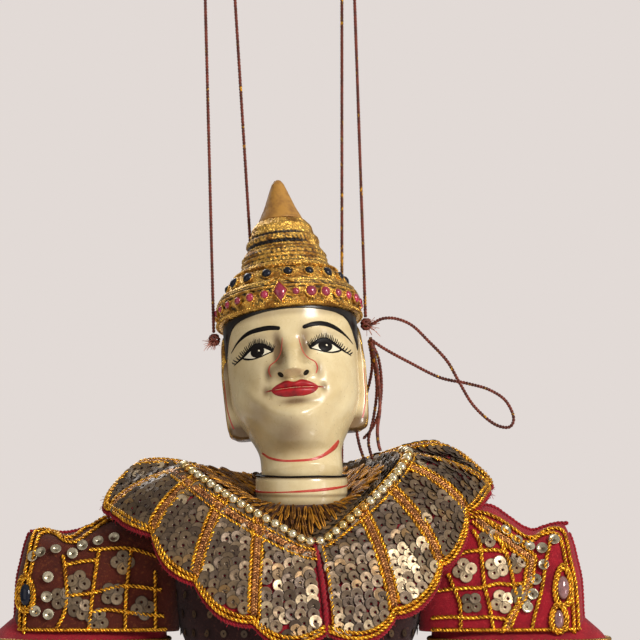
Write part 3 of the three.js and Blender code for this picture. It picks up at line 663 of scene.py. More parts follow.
# %% The tree that twists and plaits
def ply_tree():
    """Strands round a line. Flat mixes a rope's twist with a flat braid's side to side weave."""
    tree, given, out = new_tree("ply_cord", {
        "Reach": 0.0004, "Lift": 0.0002, "Thickness": 0.0003, "Pitch": 0.003, "Strands": 2, "Flat": 0.0,
        "Finish": "Material"})
    lines = add_node(tree, "GeometryNodeMeshToCurve", {"Mesh": given["Geometry"]}).outputs[0]
    step = add_math(tree, "DIVIDE", given["Pitch"], 8)
    even = add_node(tree, "GeometryNodeResampleCurve", {"Curve": lines, "Length": step}, mode="LENGTH")
    copies = add_node(tree, "GeometryNodeDuplicateElements", {
        "Geometry": even.outputs[0], "Amount": given["Strands"]}, domain="SPLINE")
    share = add_math(tree, "DIVIDE", copies.outputs[1], given["Strands"])
    walked = add_math(tree, "DIVIDE", tree.nodes.new("GeometryNodeSplineParameter").outputs["Length"],
                      given["Pitch"])
    phase = add_math(tree, "MULTIPLY", add_math(tree, "ADD", walked, share), 2 * math.pi)
    tangent = tree.nodes.new("GeometryNodeInputTangent").outputs[0]
    facing = read(tree, "out", "FLOAT_VECTOR")
    side = add_vector(tree, "NORMALIZE", add_vector(tree, "CROSS_PRODUCT", tangent, facing))
    up = add_vector(tree, "CROSS_PRODUCT", side, tangent)
    sine, cosine = (add_math(tree, kind, phase) for kind in ("SINE", "COSINE"))
    weave = add_math(tree, "SINE", add_math(tree, "MULTIPLY", phase, 2))
    across = add_math(tree, "MULTIPLY", given["Reach"], sine)
    turned_up = add_math(tree, "MULTIPLY", given["Reach"], cosine)
    woven_up = add_math(tree, "MULTIPLY", given["Lift"], weave)
    rise = add_node(tree, "ShaderNodeMix", {
        "Factor_Float": given["Flat"], "A_Float": turned_up, "B_Float": woven_up}).outputs[0]
    shift = add_vector(tree, "ADD", scaled(tree, side, across), scaled(tree, up, rise))
    moved = add_node(tree, "GeometryNodeSetPosition", {"Geometry": copies.outputs[0], "Offset": shift})
    tone = add_math(tree, "FRACT", add_math(tree, "MULTIPLY", share, 2.3))
    toned = add_node(tree, "GeometryNodeStoreNamedAttribute", {
        "Geometry": moved.outputs[0], "Name": "tone", "Value": tone}, data_type="FLOAT", domain="POINT")
    ring = add_node(tree, "GeometryNodeCurvePrimitiveCircle", {
        "Resolution": 5, "Radius": given["Thickness"]}).outputs[0]
    solid = add_node(tree, "GeometryNodeCurveToMesh", {
        "Curve": toned.outputs[0], "Profile Curve": ring, "Fill Caps": True})
    return finished(tree, solid, given, out)


def scaled(tree, vector, factor):
    made = add_node(tree, "ShaderNodeVectorMath", {0: vector, "Scale": factor}, operation="SCALE")
    return made.outputs["Vector"]


PLY_CORD = ply_tree()


def ply(name, lines, finish, reach, thickness, pitch, strands=2, flat=0.0, lift=0.2):
    """One piece from lines of (points, out) in millimetres; closed lines repeat their first point."""
    points, outs, edges = [], [], []
    for line, out in lines:
        start = sum(len(p) for p in points)
        points.append(np.asarray(line, float))
        outs.append(unit(np.broadcast_to(np.asarray(out, float), np.shape(line))))
        edges += [[start + i, start + i + 1] for i in range(len(line) - 1)]
    return grow(PLY_CORD, name, np.concatenate(points), edges, {"out": np.concatenate(outs)},
                Reach=reach * MM, Lift=lift * MM, Thickness=thickness * MM, Pitch=pitch * MM,
                Strands=strands, Flat=float(flat), Finish=finish)


def trim(name, lines, finish, reach, thickness, pitch, body="trunk", slot="gold_thread", **more):
    """A twisted or plaited piece that rides on a body."""
    return settle(ply(name, lines, finish, reach, thickness, pitch, **more), body)


print("makers:", SEW_ON.name, PLY_CORD.name)


# %% Small shapes that are sewn on
def small_shape(name, rings, sides, stretch=(1, 1), rim_tarnish_and_shade=()):
    """A turned shape in millimetres: (radius, height) rings, closed over or round through a hole."""
    points, faces = [], []
    for radius, height in rings:
        points += [(radius * math.cos(a) * stretch[0], radius * math.sin(a) * stretch[1],
                    height) for a in around(sides)]
    loop = rings[0][0] > 0 and rings[-1][0] > 0
    rows = len(rings)
    for k in range(rows if loop else rows - 1):
        for i in range(sides):
            j, n = (i + 1) % sides, (k + 1) % rows
            faces.append([k * sides + i, n * sides + i, n * sides + j, k * sides + j])
    mesh = bpy.data.meshes.new(name)
    mesh.from_pydata((np.array(points) * MM).tolist(), [], faces)
    mended(mesh)
    if rim_tarnish_and_shade:
        mesh.attributes.new("rim", "FLOAT",
                            "POINT").data.foreach_set("value", np.repeat(rim_tarnish_and_shade, sides).astype(np.float32))
    return bpy.data.objects.new(name, mesh)


SHAPE_RINGS = {  # (radius, height) rings and the number of sides
    "sequin": ([(0.52, 0.06), (0.9, 0.24), (2.45, 0.34), (2.85, 0.3), (2.7, 0.1)], 14),
    "stitch": ([(0, -0.1), (1, -0.1), (0.8, 0.12), (0, 0.2)], 6, (1.3, 0.26)),
    "cup": ([(0.4, 0.0), (0.4, 0.25), (1.7, 0.45), (2.9, 1.45), (3.1, 1.3), (1.9, 0.2)], 14),
    "bead": ([(0, -2.0), (1.2, -1.6), (1.9, -0.6), (1.9, 0.6), (1.2, 1.6), (0, 2.0)], 10),
    "dome": ([(0, -0.5), (1, -0.5), (1, 0.1), (0.92, 0.42), (0.62, 0.72), (0, 0.88)], 16),
    "bezel": ([(0.98, -0.4), (0.98, 0.22), (1.1, 0.36), (1.24, 0.2), (1.24, -0.4)], 16),
    "lozenge": ([(0, -0.8), (1, -0.8), (1, 0.1), (0.5, 0.75), (0, 0.9)], 4, (3.5, 2.2)),
    "lozenge_bed": ([(0.98, -0.8), (0.98, 0.2), (1.1, 0.4), (1.26, -0.8)], 4, (3.5, 2.2)),
    "cabochon": ([(0, -0.6), (1, -0.6), (1.02, 0.2), (0.9, 1.1), (0.62, 1.75), (0.3, 2.05), (0, 2.12)], 20,
                 (5.0, 2.7))}
SEQUIN_TARNISH_AND_SHADE = (1, 0, 0, 1, 1)  # which rings darken: tarnish, and painted shade at the edge and the hole, where neighbours and thread shade them
SHAPES = {name: small_shape(name, *rings, rim_tarnish_and_shade=SEQUIN_TARNISH_AND_SHADE if name == "sequin" else ())
          for name, rings in SHAPE_RINGS.items()}
print("shapes:", ", ".join(SHAPES))

# %% Smooth routes through points
def smooth_route(points, count=160):
    """Centripetal spline through points."""
    p = np.asarray(points, float)
    p = np.vstack([2 * p[0] - p[1], p, 2 * p[-1] - p[-2]])
    return np.vstack([spline_span(*p[k:k + 4], count // (len(p) - 3)) for k in range(len(p) - 3)] + [p[-2]])


def spline_span(p0, p1, p2, p3, count):
    d0, d1, d2 = (math.sqrt(max(np.linalg.norm(b - a), 1e-6)) for a, b in ((p0, p1), (p1, p2), (p2, p3)))
    t1 = ((p1 - p0) / d0 - (p2 - p0) / (d0 + d1) + (p2 - p1) / d1) * d1
    t2 = ((p2 - p1) / d1 - (p3 - p1) / (d1 + d2) + (p3 - p2) / d2) * d1
    w = np.linspace(0, 1, count, endpoint=False)[:, None]
    return p1 + t1 * w + (3 * (p2 - p1) - 2 * t1 - t2) * w**2 + (2 * (p1 - p2) + t1 + t2) * w**3


def length_of(points):
    return float(walk(points)[-1])


quarter = [(10 * math.cos(a), 10 * math.sin(a), 0) for a in np.linspace(0, math.pi / 2, 7)]
print("a quarter circle of 10 mm measures", round(length_of(smooth_route(quarter)), 2))

# %% [markdown]
# ## Collar
# The collar is a ring of stiffened red cotton with a scalloped edge, slit at the front and worn
# slipped a little round the neck. Sixteen panels of tarnished sequins lie between bands of copper
# braid and gold cord. Two edge lines carry its whole form: the neckline that rests on the
# shoulders, and the outer edge that stands out over the chest. Everything sewn to the collar is
# placed by the same two numbers: u runs round from the front, and s from the neckline outwards.


# %% The collar's surface
COLLAR_OUTER = [
    (0, -54, -69), (18, -53, -69.5), (36, -49, -61), (52, -41, -48), (64, -30, -33), (72, -20, -21.5),
    (79, -8, -14.5), (86, 5, -12), (79, 15, -2), (71, 25, 6.5), (50, 54, -4), (27, 66, -14), (0, 70, -18)]
COLLAR_INNER = [
    (0, -31, -27), (16, -27, -17.5), (30, -19, -7.5), (40, -9, 0.5), (45, 4, 5), (42, 16, 5), (32, 26, 3),
    (17, 31, 0), (0, 32, -1)]
COLLAR_TURN, COLLAR_TILT = 8.5, 3.5  # degrees
PANELS, SLIT, CLOTH = 16, 0.0016, 1.7


def closed_edge(half):
    """Closed centripetal spline through a half and its mirror, read by the share of its length."""
    half = np.array(half, float)
    p = np.vstack([half, half[1:-1][::-1] * (-1, 1,
                                             1)]) @ (turned("Y", -COLLAR_TILT) @ turned("Z", COLLAR_TURN)).T
    n = len(p)
    q = np.vstack([spline_span(*(p[(i + k) % n] for k in (-1, 0, 1, 2)), 120) for i in range(n)] + [p[:1]])
    walked = walk(q)
    return lambda u: np.stack([np.interp(np.mod(u, 1) * walked[-1], walked, q[:, k]) for k in range(3)], -1)


outer_edge, inner_edge = closed_edge(COLLAR_OUTER), closed_edge(COLLAR_INNER)


def neck_share(u):
    """The front panels are cut wide at the neckline, so the others crowd towards the shoulder."""
    panels = PANELS * np.minimum(np.mod(u, 1), 1 - np.mod(u, 1))
    crowded = panels + 0.65 * smooth(0, 1.2, panels) * (1 - smooth(4, 6.5, panels))
    return np.where(np.mod(u, 1) < 0.5, crowded, PANELS - crowded) / PANELS


def collar(u, s):
    u, s = np.broadcast_arrays(np.asarray(u, float), np.asarray(s, float))
    inner, outer = inner_edge(neck_share(u)), outer_edge(u)
    reach = outer - inner
    away = unit(reach * (1, 1, 0))
    pointed = smooth(0.52, 0.6, np.mod(u, 1)) * (1 - smooth(0.9, 0.97, np.mod(u, 1)))
    scallop = -(4.4 + 0.8 * pointed) * np.abs(2 * np.mod(u * PANELS, 1) - 1) ** (2.6 - 0.9 * pointed)
    crown = 4 * np.sin(math.pi * np.minimum(s, 1))
    lift = away * 0.6 + np.array([0, 0, 0.8])
    return inner + reach * s[..., None] + unit(reach) * (scallop * smooth(0.7, 1, s))[..., None] + lift * crown[..., None]


def collar_up(u, s):
    return -normals_of(collar, u, s)


def collar_around(u, s):
    return unit(collar(u + 0.002, s) - collar(u - 0.002, s))


def collar_down(u, s):
    return unit(collar(u, s + 0.004) - collar(u, s - 0.004))


def on_collar(u, s, aside=0.0, lift=0.5):
    """A point of the collar, moved aside round it and lifted off the cloth, in millimetres."""
    return (collar(u, s) + collar_around(u, s) * np.asarray(aside)[..., None]
            + collar_up(u, s) * np.asarray(lift)[..., None])


def sewn_line(u, s, aside=0.0, lift=0.5):
    """A line on the collar with the way out of the cloth, as a cord wants it."""
    u, s = np.broadcast_arrays(np.asarray(u, float), np.asarray(s, float))
    return on_collar(u, s, aside, lift), collar_up(u, s)


print("collar is", round(length_of(collar(np.linspace(0, 1, 400), 1.0))), "mm round its edge")


# %% Collar cloth
def collar_cloth():
    u, s = np.linspace(SLIT, 1 - SLIT, PANELS * 30 + 1)[:, None], np.linspace(0, 1, 34)[None]
    flat, up = collar(u, s), collar_up(u, s)
    seam = np.abs(np.mod(u * PANELS + 0.5, 1) - 0.5)
    puffed = 0.5 * (1 - bump(seam, 0.09)) * np.sin(math.pi * s) ** 0.3 - 0.35
    return new_piece("collar_cloth", *skin(flat + up * puffed[..., None], flat - up * CLOTH), RED)


collar_sheet = settle(collar_cloth(), "trunk", ["collar"])


# %% Sequins in their panels
SEQUIN_STEP, ROW_STEP = 3.9, 3.7
BAND_HALF = 3.0  # mm from a band's middle to the first sequins' edge


def panel_places(panel):
    """Staggered rows that fill one panel between its bands."""
    middle, half = (panel + 0.5) / PANELS, 0.5 / PANELS
    s_line = np.linspace(0, 1, 200)
    walked = walk(collar(middle, s_line))
    places = []
    for d in np.arange(3.6, walked[-1] - 4.2, ROW_STEP):
        s = np.interp(d, walked, s_line)
        width = np.linalg.norm(collar(middle + half, s) - collar(middle - half, s))
        usable = width - 2 * (BAND_HALF + 2.2)
        count = int(usable // SEQUIN_STEP) + 1 if usable > 0 else (1 if usable > -2.6 else 0)
        for i in range(count):
            aside = (i - (count - 1) / 2) * (usable / max(count - 1, 1) if count > 1 else 0)
            places.append((middle + aside / width * 2 * half, s))
    return places


def collar_sequins():
    u, s = np.array([place for panel in range(PANELS) for place in panel_places(panel)]).T
    rng = np.random.default_rng(4)
    s = s + rng.normal(0, 0.011, len(s))
    points = on_collar(u, s, rng.normal(0, 0.42, len(u)), 0.8 + 0.25 * rng.random(len(u)))
    diagonal = collar_around(u, s) * rng.choice([1, 0.6], len(u))[:, None] + collar_down(u, s)
    panel = (u * PANELS).astype(int)
    # sequins that get a painted highlight: a few at random, and more in a few panels near the front
    highlit_share = 0.02 + 0.72 * (panel == 1) * (s > 0.52) + 0.3 * (panel == 0) * (s > 0.8) + 0.1 * (panel == 15) * (s > 0.5)
    shine = (rng.random(len(u)) < highlit_share) * rng.uniform(0.45, 1, len(u))
    up = collar_up(u, s)
    made = sew("collar_sequins", SHAPES["sequin"], points, up, diagonal, SEQUIN,
               size=rng.uniform(0.94, 1.03, len(u)), lean=0.2, jitter=0.17, seed=3, shine=shine)
    lower = unit(diagonal)
    sewn = sew("collar_stitches", SHAPES["stitch"], points + lower * 1.25 + up * 0.5, up, lower, DARK,
               size=0.7, jitter=0.3, seed=4)
    print("sequins:", len(u))
    return made, sewn


for piece in collar_sequins():
    settle(piece, "trunk")


# %% Bands, edge cords and piping
def across_panels(aside, low=0.02, high=0.915, lift=0.7):
    s = np.linspace(low, high, 50)
    return [sewn_line(k / PANELS, s, aside, lift) for k in range(1, PANELS)]


def along_edge(inside, lift):
    """A line that keeps its distance inside the scalloped edge."""
    u = np.linspace(SLIT, 1 - SLIT, 900)
    reach = np.linalg.norm(outer_edge(u) - inner_edge(neck_share(u)), axis=-1)
    return sewn_line(u, 1 - inside / reach, 0, lift)


trim("collar_bands", across_panels(0.0), COPPER, 1.15, 0.52, 3.6, strands=3, flat=1.0, lift=0.5)
trim("collar_band_cords", across_panels(-2.5, lift=0.9) + across_panels(2.5, lift=0.9)
     + [along_edge(1.9, 0.8), along_edge(3.9, 1.0), sewn_line(0, np.linspace(0.1, 0.96, 80), 3.0, 0.9)],
     GOLD, 0.5, 0.52, 3.9)
trim("collar_piping", [along_edge(0.2, -0.5)], RED, 0.4, 0.46, 3.0, slot="red_cloth")
trim("collar_slit_piping", [sewn_line(0, np.linspace(0, 1, 60))], RED, 0.5, 0.8, 5.0, slot="red_cloth")


# %% Frayed edge
def frayed_edge(count=420, seed=9):
    """Short loose red threads where the cut edge of the cloth has worn."""
    rng = np.random.default_rng(seed)
    u = rng.random(count)
    roots, up = collar(u, np.full(count, 0.995)), collar_up(u, np.full(count, 0.995))
    aims = unit(collar_down(u, np.full(count, 0.98)) + rng.normal(0, 0.55, (count, 3)))
    share = np.linspace(0, 1, 6)[:, None]
    return [(p + aim * share * long + bend * share**2, n) for p, aim, long, bend, n in
            zip(roots, aims, rng.uniform(0.7, 2.2, count), rng.normal(0, 0.5, (count, 3)), up)]


trim("collar_frayed", frayed_edge(), RED, 0.0, 0.09, 2.0, strands=1, slot="red_cloth")


# %% Pearls and the braid under them
PEARL_STEP, PEARL_S = 4.15, 0.06


def evenly(u0, u1, s, step):
    """Values of u that lie a fixed distance apart along a line of the collar."""
    fine = np.linspace(u0, u1, 600)
    walked = walk(collar(fine, s))
    return np.interp(np.arange(0, walked[-1], step), walked, fine)


def pearls():
    u = np.concatenate([evenly(SLIT + 0.006, 0.262, PEARL_S, PEARL_STEP),
                        evenly(0.74, 1 - SLIT - 0.003, PEARL_S, PEARL_STEP)])
    return sew("neck_pearls", SHAPES["bead"], *sewn_line(u, PEARL_S, 0, 2.0), collar_around(u, PEARL_S),
               PEARL, size=1.1, jitter=0.2, seed=8)


def neckline_cord(s, lift, u0=0.0, u1=1.0):
    return sewn_line(np.linspace(u0 + SLIT, u1 - SLIT, 500), s, 0, lift)


settle(pearls(), "trunk")
trim("neckline_braid", [neckline_cord(0.185, 1.1, 0.74)], COPPER, 1.2, 0.52, 3.8, strands=3, flat=1.0,
     lift=0.5)
trim("neckline_cords", [neckline_cord(0.0, 0.3), neckline_cord(0.13, 1.2, 0.74),
                        neckline_cord(0.245, 1.2, 0.74),
                        neckline_cord(0.125, 1.2, 0.01, 0.27)], GOLD, 0.4, 0.42, 3.5)

# %% [markdown]
# ## Looped fringe in the neckline
# Between the collar and the neck lies a brown yoke sewn full of bullion: fine gold wire coiled like
# a spring, cut in short lengths and bent into loops that point at the neck. Each loop is a thin
# closed ring of about 11 mm, and they lie in two rounds that overlap.


# %% Yoke and its loops
def yoke(u, s):
    u, s = np.broadcast_arrays(np.asarray(u, float), np.asarray(s, float))
    t = u * 2 * math.pi + math.radians(COLLAR_TURN)
    ring = np.stack([21 * np.sin(t), -21 * np.cos(t), -10.5 - 1.5 * np.cos(t)], -1)
    edge = inner_edge(u) * (0.965, 0.955, 1) - (0, 0, 0.6)
    return ring + (edge - ring) * s[..., None]


def yoke_up(u, s):
    return -normals_of(yoke, u, s)


def yoke_cloth():
    u, s = np.linspace(0, 1, 161)[:-1, None], np.linspace(0, 1, 12)[None]
    top = yoke(u, s)
    return new_piece("yoke_cloth", *skin(top, top - yoke_up(u, s) * 1.2, closed=True), GROUND)


def loop_shape(length=11.0, width=2.5, wire=0.55, steps=22, sides=6):
    a = around(steps)
    x = np.sign(np.cos(a)) * np.abs(np.cos(a)) ** 0.7 * (length / 2 - wire)
    centre = np.stack([x, np.sin(a) * (width / 2 - wire), 0.9 * (1 - (x / (length / 2)) ** 2)], -1)
    ahead = unit(np.roll(centre, -1, 0) - np.roll(centre, 1, 0))
    side = unit(np.cross(ahead, [0, 0, 1]))
    up = np.cross(side, ahead)
    b = around(sides)[None, :, None]
    ring = centre[:, None] + wire * (np.cos(b) * side[:, None] + np.sin(b) * up[:, None])
    mesh = bpy.data.meshes.new("loop")
    ids = np.arange(steps * sides).reshape(steps, sides)
    ahead_ids = np.roll(ids, -1, 0)
    faces = np.stack([ids, np.roll(ids, -1, 1), np.roll(ahead_ids, -1, 1), ahead_ids], -1)
    mesh.from_pydata((ring.reshape(-1, 3) * MM).tolist(), [], faces.reshape(-1, 4).tolist())
    return bpy.data.objects.new("loop", mesh)


def yoke_fringe():
    turns, depths = [], []
    for first, last, count, s in ((0, 1, 70, 0.56), (0, 1, 66, 0.3), (0.5, 1, 38, 0.84)):
        turns.append(first + (last - first) * (np.arange(count) + 0.4 * (s < 0.5)) / count)
        depths.append(np.full(count, s))
    u, s = np.concatenate(turns), np.concatenate(depths)
    jitter = np.random.default_rng(6)
    s = s + jitter.uniform(-0.05, 0.05, len(s))
    reach = np.linalg.norm(yoke(u, 1.0) - yoke(u, 0.0), axis=-1)
    points = yoke(u, s) + yoke_up(u, s) * (0.75 + 0.4 * (s > 0.42))[:, None]
    inward = unit(yoke(u, s - 0.02) - yoke(u, s + 0.02))
    return sew("yoke_fringe", loop_shape(), points, yoke_up(u, s), inward, BULLION,
               size=np.clip(reach / 21, 0.45, 0.95) * jitter.uniform(0.8, 1.1, len(u)), jitter=0.2, seed=5)


def yoke_leaves():
    """Dark sequins that lie like feathers between the fringe and the pearls."""
    u, s = np.meshgrid(np.arange(44) / 78, (0.98, 0.87, 0.76), indexing="ij")
    u, s = (u + 0.0064 * (np.round(s / 0.11) % 2)).ravel(), s.ravel()
    inward = unit(yoke(u, s - 0.02) - yoke(u, s + 0.02))
    return sew("yoke_leaves", SHAPES["sequin"], yoke(u, s) + yoke_up(u, s) * 0.9, yoke_up(u, s), inward,
               SEQUIN,
               size=0.8, lean=0.35, jitter=0.2, seed=12)


yoke_sheet = settle(yoke_cloth(), "trunk", ["neck_yoke"])
settle(yoke_fringe(), "trunk")
settle(yoke_leaves(), "trunk")

# %% [markdown]
# ## Strings
# Four strings hold the puppet up: two tied at the temples turn the head, and two behind it carry
# the weight at the back of the collar. They are dark red-brown two-ply thread with a gold strand
# that glints. Two thirds of the way down some old ends hang loose: a loop that curls out past the
# right ear, and two strands that drop behind it. A taut string is straight, so only its twist
# shows; the loose ones follow smooth routes.


# %% Where the strings run
BAR_TIES_Z = 213.76  # where the strings leave the bar's ties
TEMPLE_KNOTS = {"left": (-32.4, -4, 61), "right": (32.4, -4, 62)}
STRING_TOPS = {"head_left": -40.3, "back_left": -28.1, "back_right": 18.1, "head_right": 23.1}
LOOSE_LOOP = [
    [30.6, 9, 63.6], [35, 7, 66], [40.2, 6, 66.2], [47.2, 5, 63.6], [54.7, 4, 56.6], [62.7, 3, 48],
    [67.6, 2, 39.4],
    [74, 1, 29], [83.6, -1, 21], [89, -2, 20.4], [90.6, -2.4, 23.6], [87.4, -1, 31.2], [80.4, 2, 36],
    [71.4, 5, 38.6], [60, 6, 41], [46.2, 8, 47.8], [36, 10, 53.4], [30.6, 11, 57]]
STRAND_LONG = [
    [30.2, 14.6, 58], [31.4, 15, 52], [33, 15, 45], [34, 14.4, 36], [34.2, 13.4, 27], [33.2, 12.6, 19],
    [33.6, 12, 13], [34.4, 11.6, 10]]
END_INNER = [[29.6, 17, 57], [31, 19.6, 46], [28.6, 20.4, 34], [24.4, 19, 22], [25.4, 17.4, 13],
             [27.4, 16, 6.6]]
END_OUTER = [[31.4, 16, 57], [32, 17.4, 47], [33, 17, 36], [31.6, 15.4, 24], [29.4, 14.6, 14],
             [31, 13.6, 6.4]]
STRAND_SHORT = [
    [30.6, 18.2, 56], [33.4, 18.8, 50], [34.8, 18.8, 42], [34.8, 18, 33], [33.2, 17, 24], [30, 16.2, 18],
    [27.2, 15.6, 15]]


def string_piece(name, path, strands=2):
    thick = 0.43 if strands == 2 else 0.44
    return ply(name, [(path, (0.2, -1, 0.25))], STRING, thick * 0.8, thick, 6 * thick, strands=strands)


EYES = {"left": (0.514, 0.8), "right": (0.441, 0.8)}  # on the collar, as u and s
EYE_R = 2.6


def eye_centre(side):
    return collar(*EYES[side]) + [0, 0, EYE_R + 1.6]


def string_lines():
    ends = {}
    for side in SIDES:
        ends["head_" + side] = from_head(np.array(TEMPLE_KNOTS[side]) + [0, 0, 3.2])
        ends["back_" + side] = eye_centre(side) + [0, 0, EYE_R + 1.2]
    return {name: np.linspace((top, -PUPPET[1], BAR_TIES_Z), ends[name], 60) for name,
            top in STRING_TOPS.items()}


# %% Strings and loose ends
def declare_cord(piece, path):
    print(f"{piece.name}: {length_of(path):.0f} mm long")


for name, path in string_lines().items():
    piece = string_piece("thread_" + name, path)
    if name.startswith("head"):
        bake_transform(piece)
    else:
        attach(piece, "trunk")
    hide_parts("string_" + name)
    declare_cord(piece, path)

for name, points, far_end in (
        ("loose_loop", LOOSE_LOOP, "object"), ("strand_long", STRAND_LONG, "bare"),
        ("strand_short", STRAND_SHORT, "bare"), ("end_inner", END_INNER, "bare"),
        ("end_outer", END_OUTER, "bare")):
    path = smooth_route(points)
    plaited = name == "strand_long"
    piece = string_piece("thread_" + name, path, 3 if plaited else 2)
    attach(piece, "head_unit")
    if not name.startswith("end"):
        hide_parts(name)
    declare_cord(piece, path)

# %% [markdown]
# ## Head
# The head is carved from one block, primed with gesso, enamelled cream and rubbed until it shines.
# It is an oval in every section, so the block is a stack of ovals and the features are carved as
# heights above them: a long straight nose, deep eye hollows with round eyeballs, a small full
# mouth on its own mound, and a chin that rolls under into a straight neck. The neck ends in a ball
# that turns in a cup. Old varnish has gathered in the hollows, and the brown laid there is also
# painted shade, as is the darker left side of the face, away from the light.

# %% Ovals of the block
HEAD_RINGS = [
    [0.3, 17.2, 17.2, 17.2], [3.5, 17.2, 16.9, 17.4], [6, 17.2, 19.2, 17.6], [9, 17.4, 24, 18.4],
    [13, 18.6, 26.8, 20], [17, 20.6, 27.8, 22.4], [21, 23, 28.3, 24.4], [25, 25.2, 28.4, 26.2],
    [30, 26.9, 28.4, 27.6], [40, 27.6, 27.4, 29], [50, 27.8, 26.8, 29.4], [58, 27.8, 27.4, 29],
    [66.1, 27.9, 27.8, 28.4]]  # height, half width, front, back
RIM_H = 66.4
BALL_R = 17.8  # round foot of the neck, about the point it nods on


def in_head(name, shape, finish):
    """A piece from points and faces in the head's own frame."""
    return new_piece(name, from_head(shape[0]), shape[1], finish)


def through(table, at):
    """Smooth values between rows of (position, values...)."""
    table = np.asarray(table, float)
    xs, ys = table[:, 0], table[:, 1:]
    slopes = np.gradient(ys, xs, axis=0)
    at = np.clip(np.asarray(at, float), xs[0], xs[-1])
    k = np.clip(np.searchsorted(xs, at) - 1, 0, len(xs) - 2)
    span = (xs[k + 1] - xs[k])[..., None]
    w = ((at - xs[k])[..., None]) / span
    a, b = ys[k], ys[k + 1]
    bent = (a * (1 + 2 * w) * (1 - w) ** 2 + b * w * w * (3 - 2 * w)
            + span * (slopes[k] * w * (1 - w) ** 2 - slopes[k + 1] * w * w * (1 - w)))
    return np.moveaxis(bent, -1, 0)


# %% Carving of the face
def mouth_width(x):
    return np.sqrt(np.clip(1 - (x / 10.4) ** 2, 0, 1))


def carved_nose(x, h):
    side = np.abs(x)
    rise = 9.3 * smooth(56.5, 38.6, h) ** 1.3 * smooth(34.8, 37.4, h)
    half = through([[37, 4.9], [41, 4.6], [46, 3.9], [52, 3.5], [57, 3.9]], h)[0]
    ridge = rise * np.exp(-((side / half) ** 2.7))
    wings = 3.9 * bump(side - 6.4, 2.8) * bump(h - 39.1, 2.7)
    pits = -1.4 * bump(side - 5.3, 1.5) * bump(h - 36.2, 0.9)
    return ridge + wings + pits


def carved_mouth(x, h):
    side, wide = np.abs(x), mouth_width(x)
    bow = 32.0 + 0.8 * bump(side - 3.2, 2.6) - 0.9 * (x / 10.4) ** 2
    mound = 1.5 * bump(x, 10.5) * bump(h - 30.3, 5.2)
    lips = wide * (1.25 * bump(h - bow, 1.3) + 1.6 * bump(h - 28.9, 1.7) - 1.1 * bump(h - 30.55, 0.42))
    corners = -0.9 * bump(side - 12, 1.8) * bump(h - 30.9, 1.9)
    under = -1.0 * bump(x, 7.5) * bump(h - 24.6, 1.7)
    lip_dent = -0.55 * bump(x, 1.4) * bump(h - 34.6, 1.3)
    return mound + lips + corners + under + lip_dent


def carving(x, h):
    side = np.abs(x)
    hollow = -2.0 * bump(side - 13.5, 8) * bump(h - 49.9, 4.3) - 1.2 * bump(side - 6.6, 2.3) * bump(h - 51,
                                                                                                    4.2)
    eyeball = 1.8 * bump(side - 14.6, 6.4) * bump(h - 48.9, 2.9)
    brow = 0.9 * bump(side - 13, 9.5) * bump(h - 57.3, 2.7)
    cheek = 1.3 * bump(side - 15.5, 7.5) * bump(h - 37.5, 7)
    crease = -0.5 * bump(side - 11.2, 1.8) * bump(h - 37.6, 3.6)
    chin = 1.7 * bump(x, 8.5) * bump(h - 18.4, 5)
    jaw = 0.9 * bump(h - 19 - 0.032 * x**2, 3.4) - 0.8 * bump(h - 12.6 - 0.034 * x**2, 3.6)
    chin = chin + jaw * smooth(25, 18, side)
    return carved_nose(x, h) + carved_mouth(x, h) + hollow + eyeball + brow + cheek + crease + chin


def head_surface(t, h, out=0.0, carved=True):
    """Point of the head's own frame: t is the turn from the front, h the height."""
    t, h = np.broadcast_arrays(np.asarray(t, float), np.asarray(h, float))
    half, front, back = through(HEAD_RINGS, h)
    c = np.cos(t)
    under_chin = 0.22 * (1 - smooth(9, 24, h)) * smooth(3, 8, h) * np.clip(c, 0, 1) ** 2
    x = (half + out) * np.sin(t) * (1 - under_chin)
    y = -(np.where(c > 0, front, back) + out) * c
    if carved:
        y = y - carving(x, h) * np.clip(c, 0, 1) ** 0.5
    return np.stack([x, y, h], -1)


def head_grime_and_shade(x, h, front):
    """Where varnish and dirt stay, and painted shade: beside the nose, under the lips and chin, round the eyes, and
    on the left side away from the light.
    """
    side = np.abs(x)
    stain = (0.95 * bump(side - 5.6, 2.1) * bump(h - 49.5, 7) + 0.7 * bump(side - 10.6,
                                                                           1.6) * bump(h - 38.5, 3.6)
             + 1.0 * bump(x, 7) * bump(h - 25.0, 1.6) + 0.75 * bump(side - 12.3, 1.5) * bump(h - 30.8, 2)
             + 0.6 * bump(side - 3.6, 1.9) * bump(h - 35.0, 1.0) + 0.55 * bump(x + 3, 12) * bump(h - 9.8,
                                                                                                 4.6)
             + 0.3 * bump(side - 15, 9) * bump(h - 54.4, 1.8) + 0.4 * bump(h - 64.2, 1.5)
             # these terms, set off to the left, are painted shade on the side away from the light
             + 0.45 * bump(x + 17, 6) * bump(h - 22, 6) + 0.4 * bump(x + 4, 10) * bump(h - 15, 5)
             + 0.8 * bump(x + 5.5, 2.4) * bump(h - 44, 6)
             + 0.22 * bump(x + 15, 8) * bump(h - 40, 12))
    return np.clip(stain * front, 0, 1)


# %% Head piece
def points_of(piece):
    """The piece's points in puppet millimetres."""
    co = np.empty(len(piece.data.vertices) * 3, np.float32)
    piece.data.vertices.foreach_get("co", co)
    return co.reshape(-1, 3) / MM - PUPPET


def into_head(piece):
    """The piece's points in the head's own upright frame, in millimetres."""
    return (points_of(piece) - NOD_POINT) @ HEAD_TURN + [0, 0, NOD_POINT[2]]


def keep_value(piece, name, values):
    piece.data.attributes.new(name, "FLOAT", "POINT").data.foreach_set("value",
                                                                       np.asarray(values, np.float32))


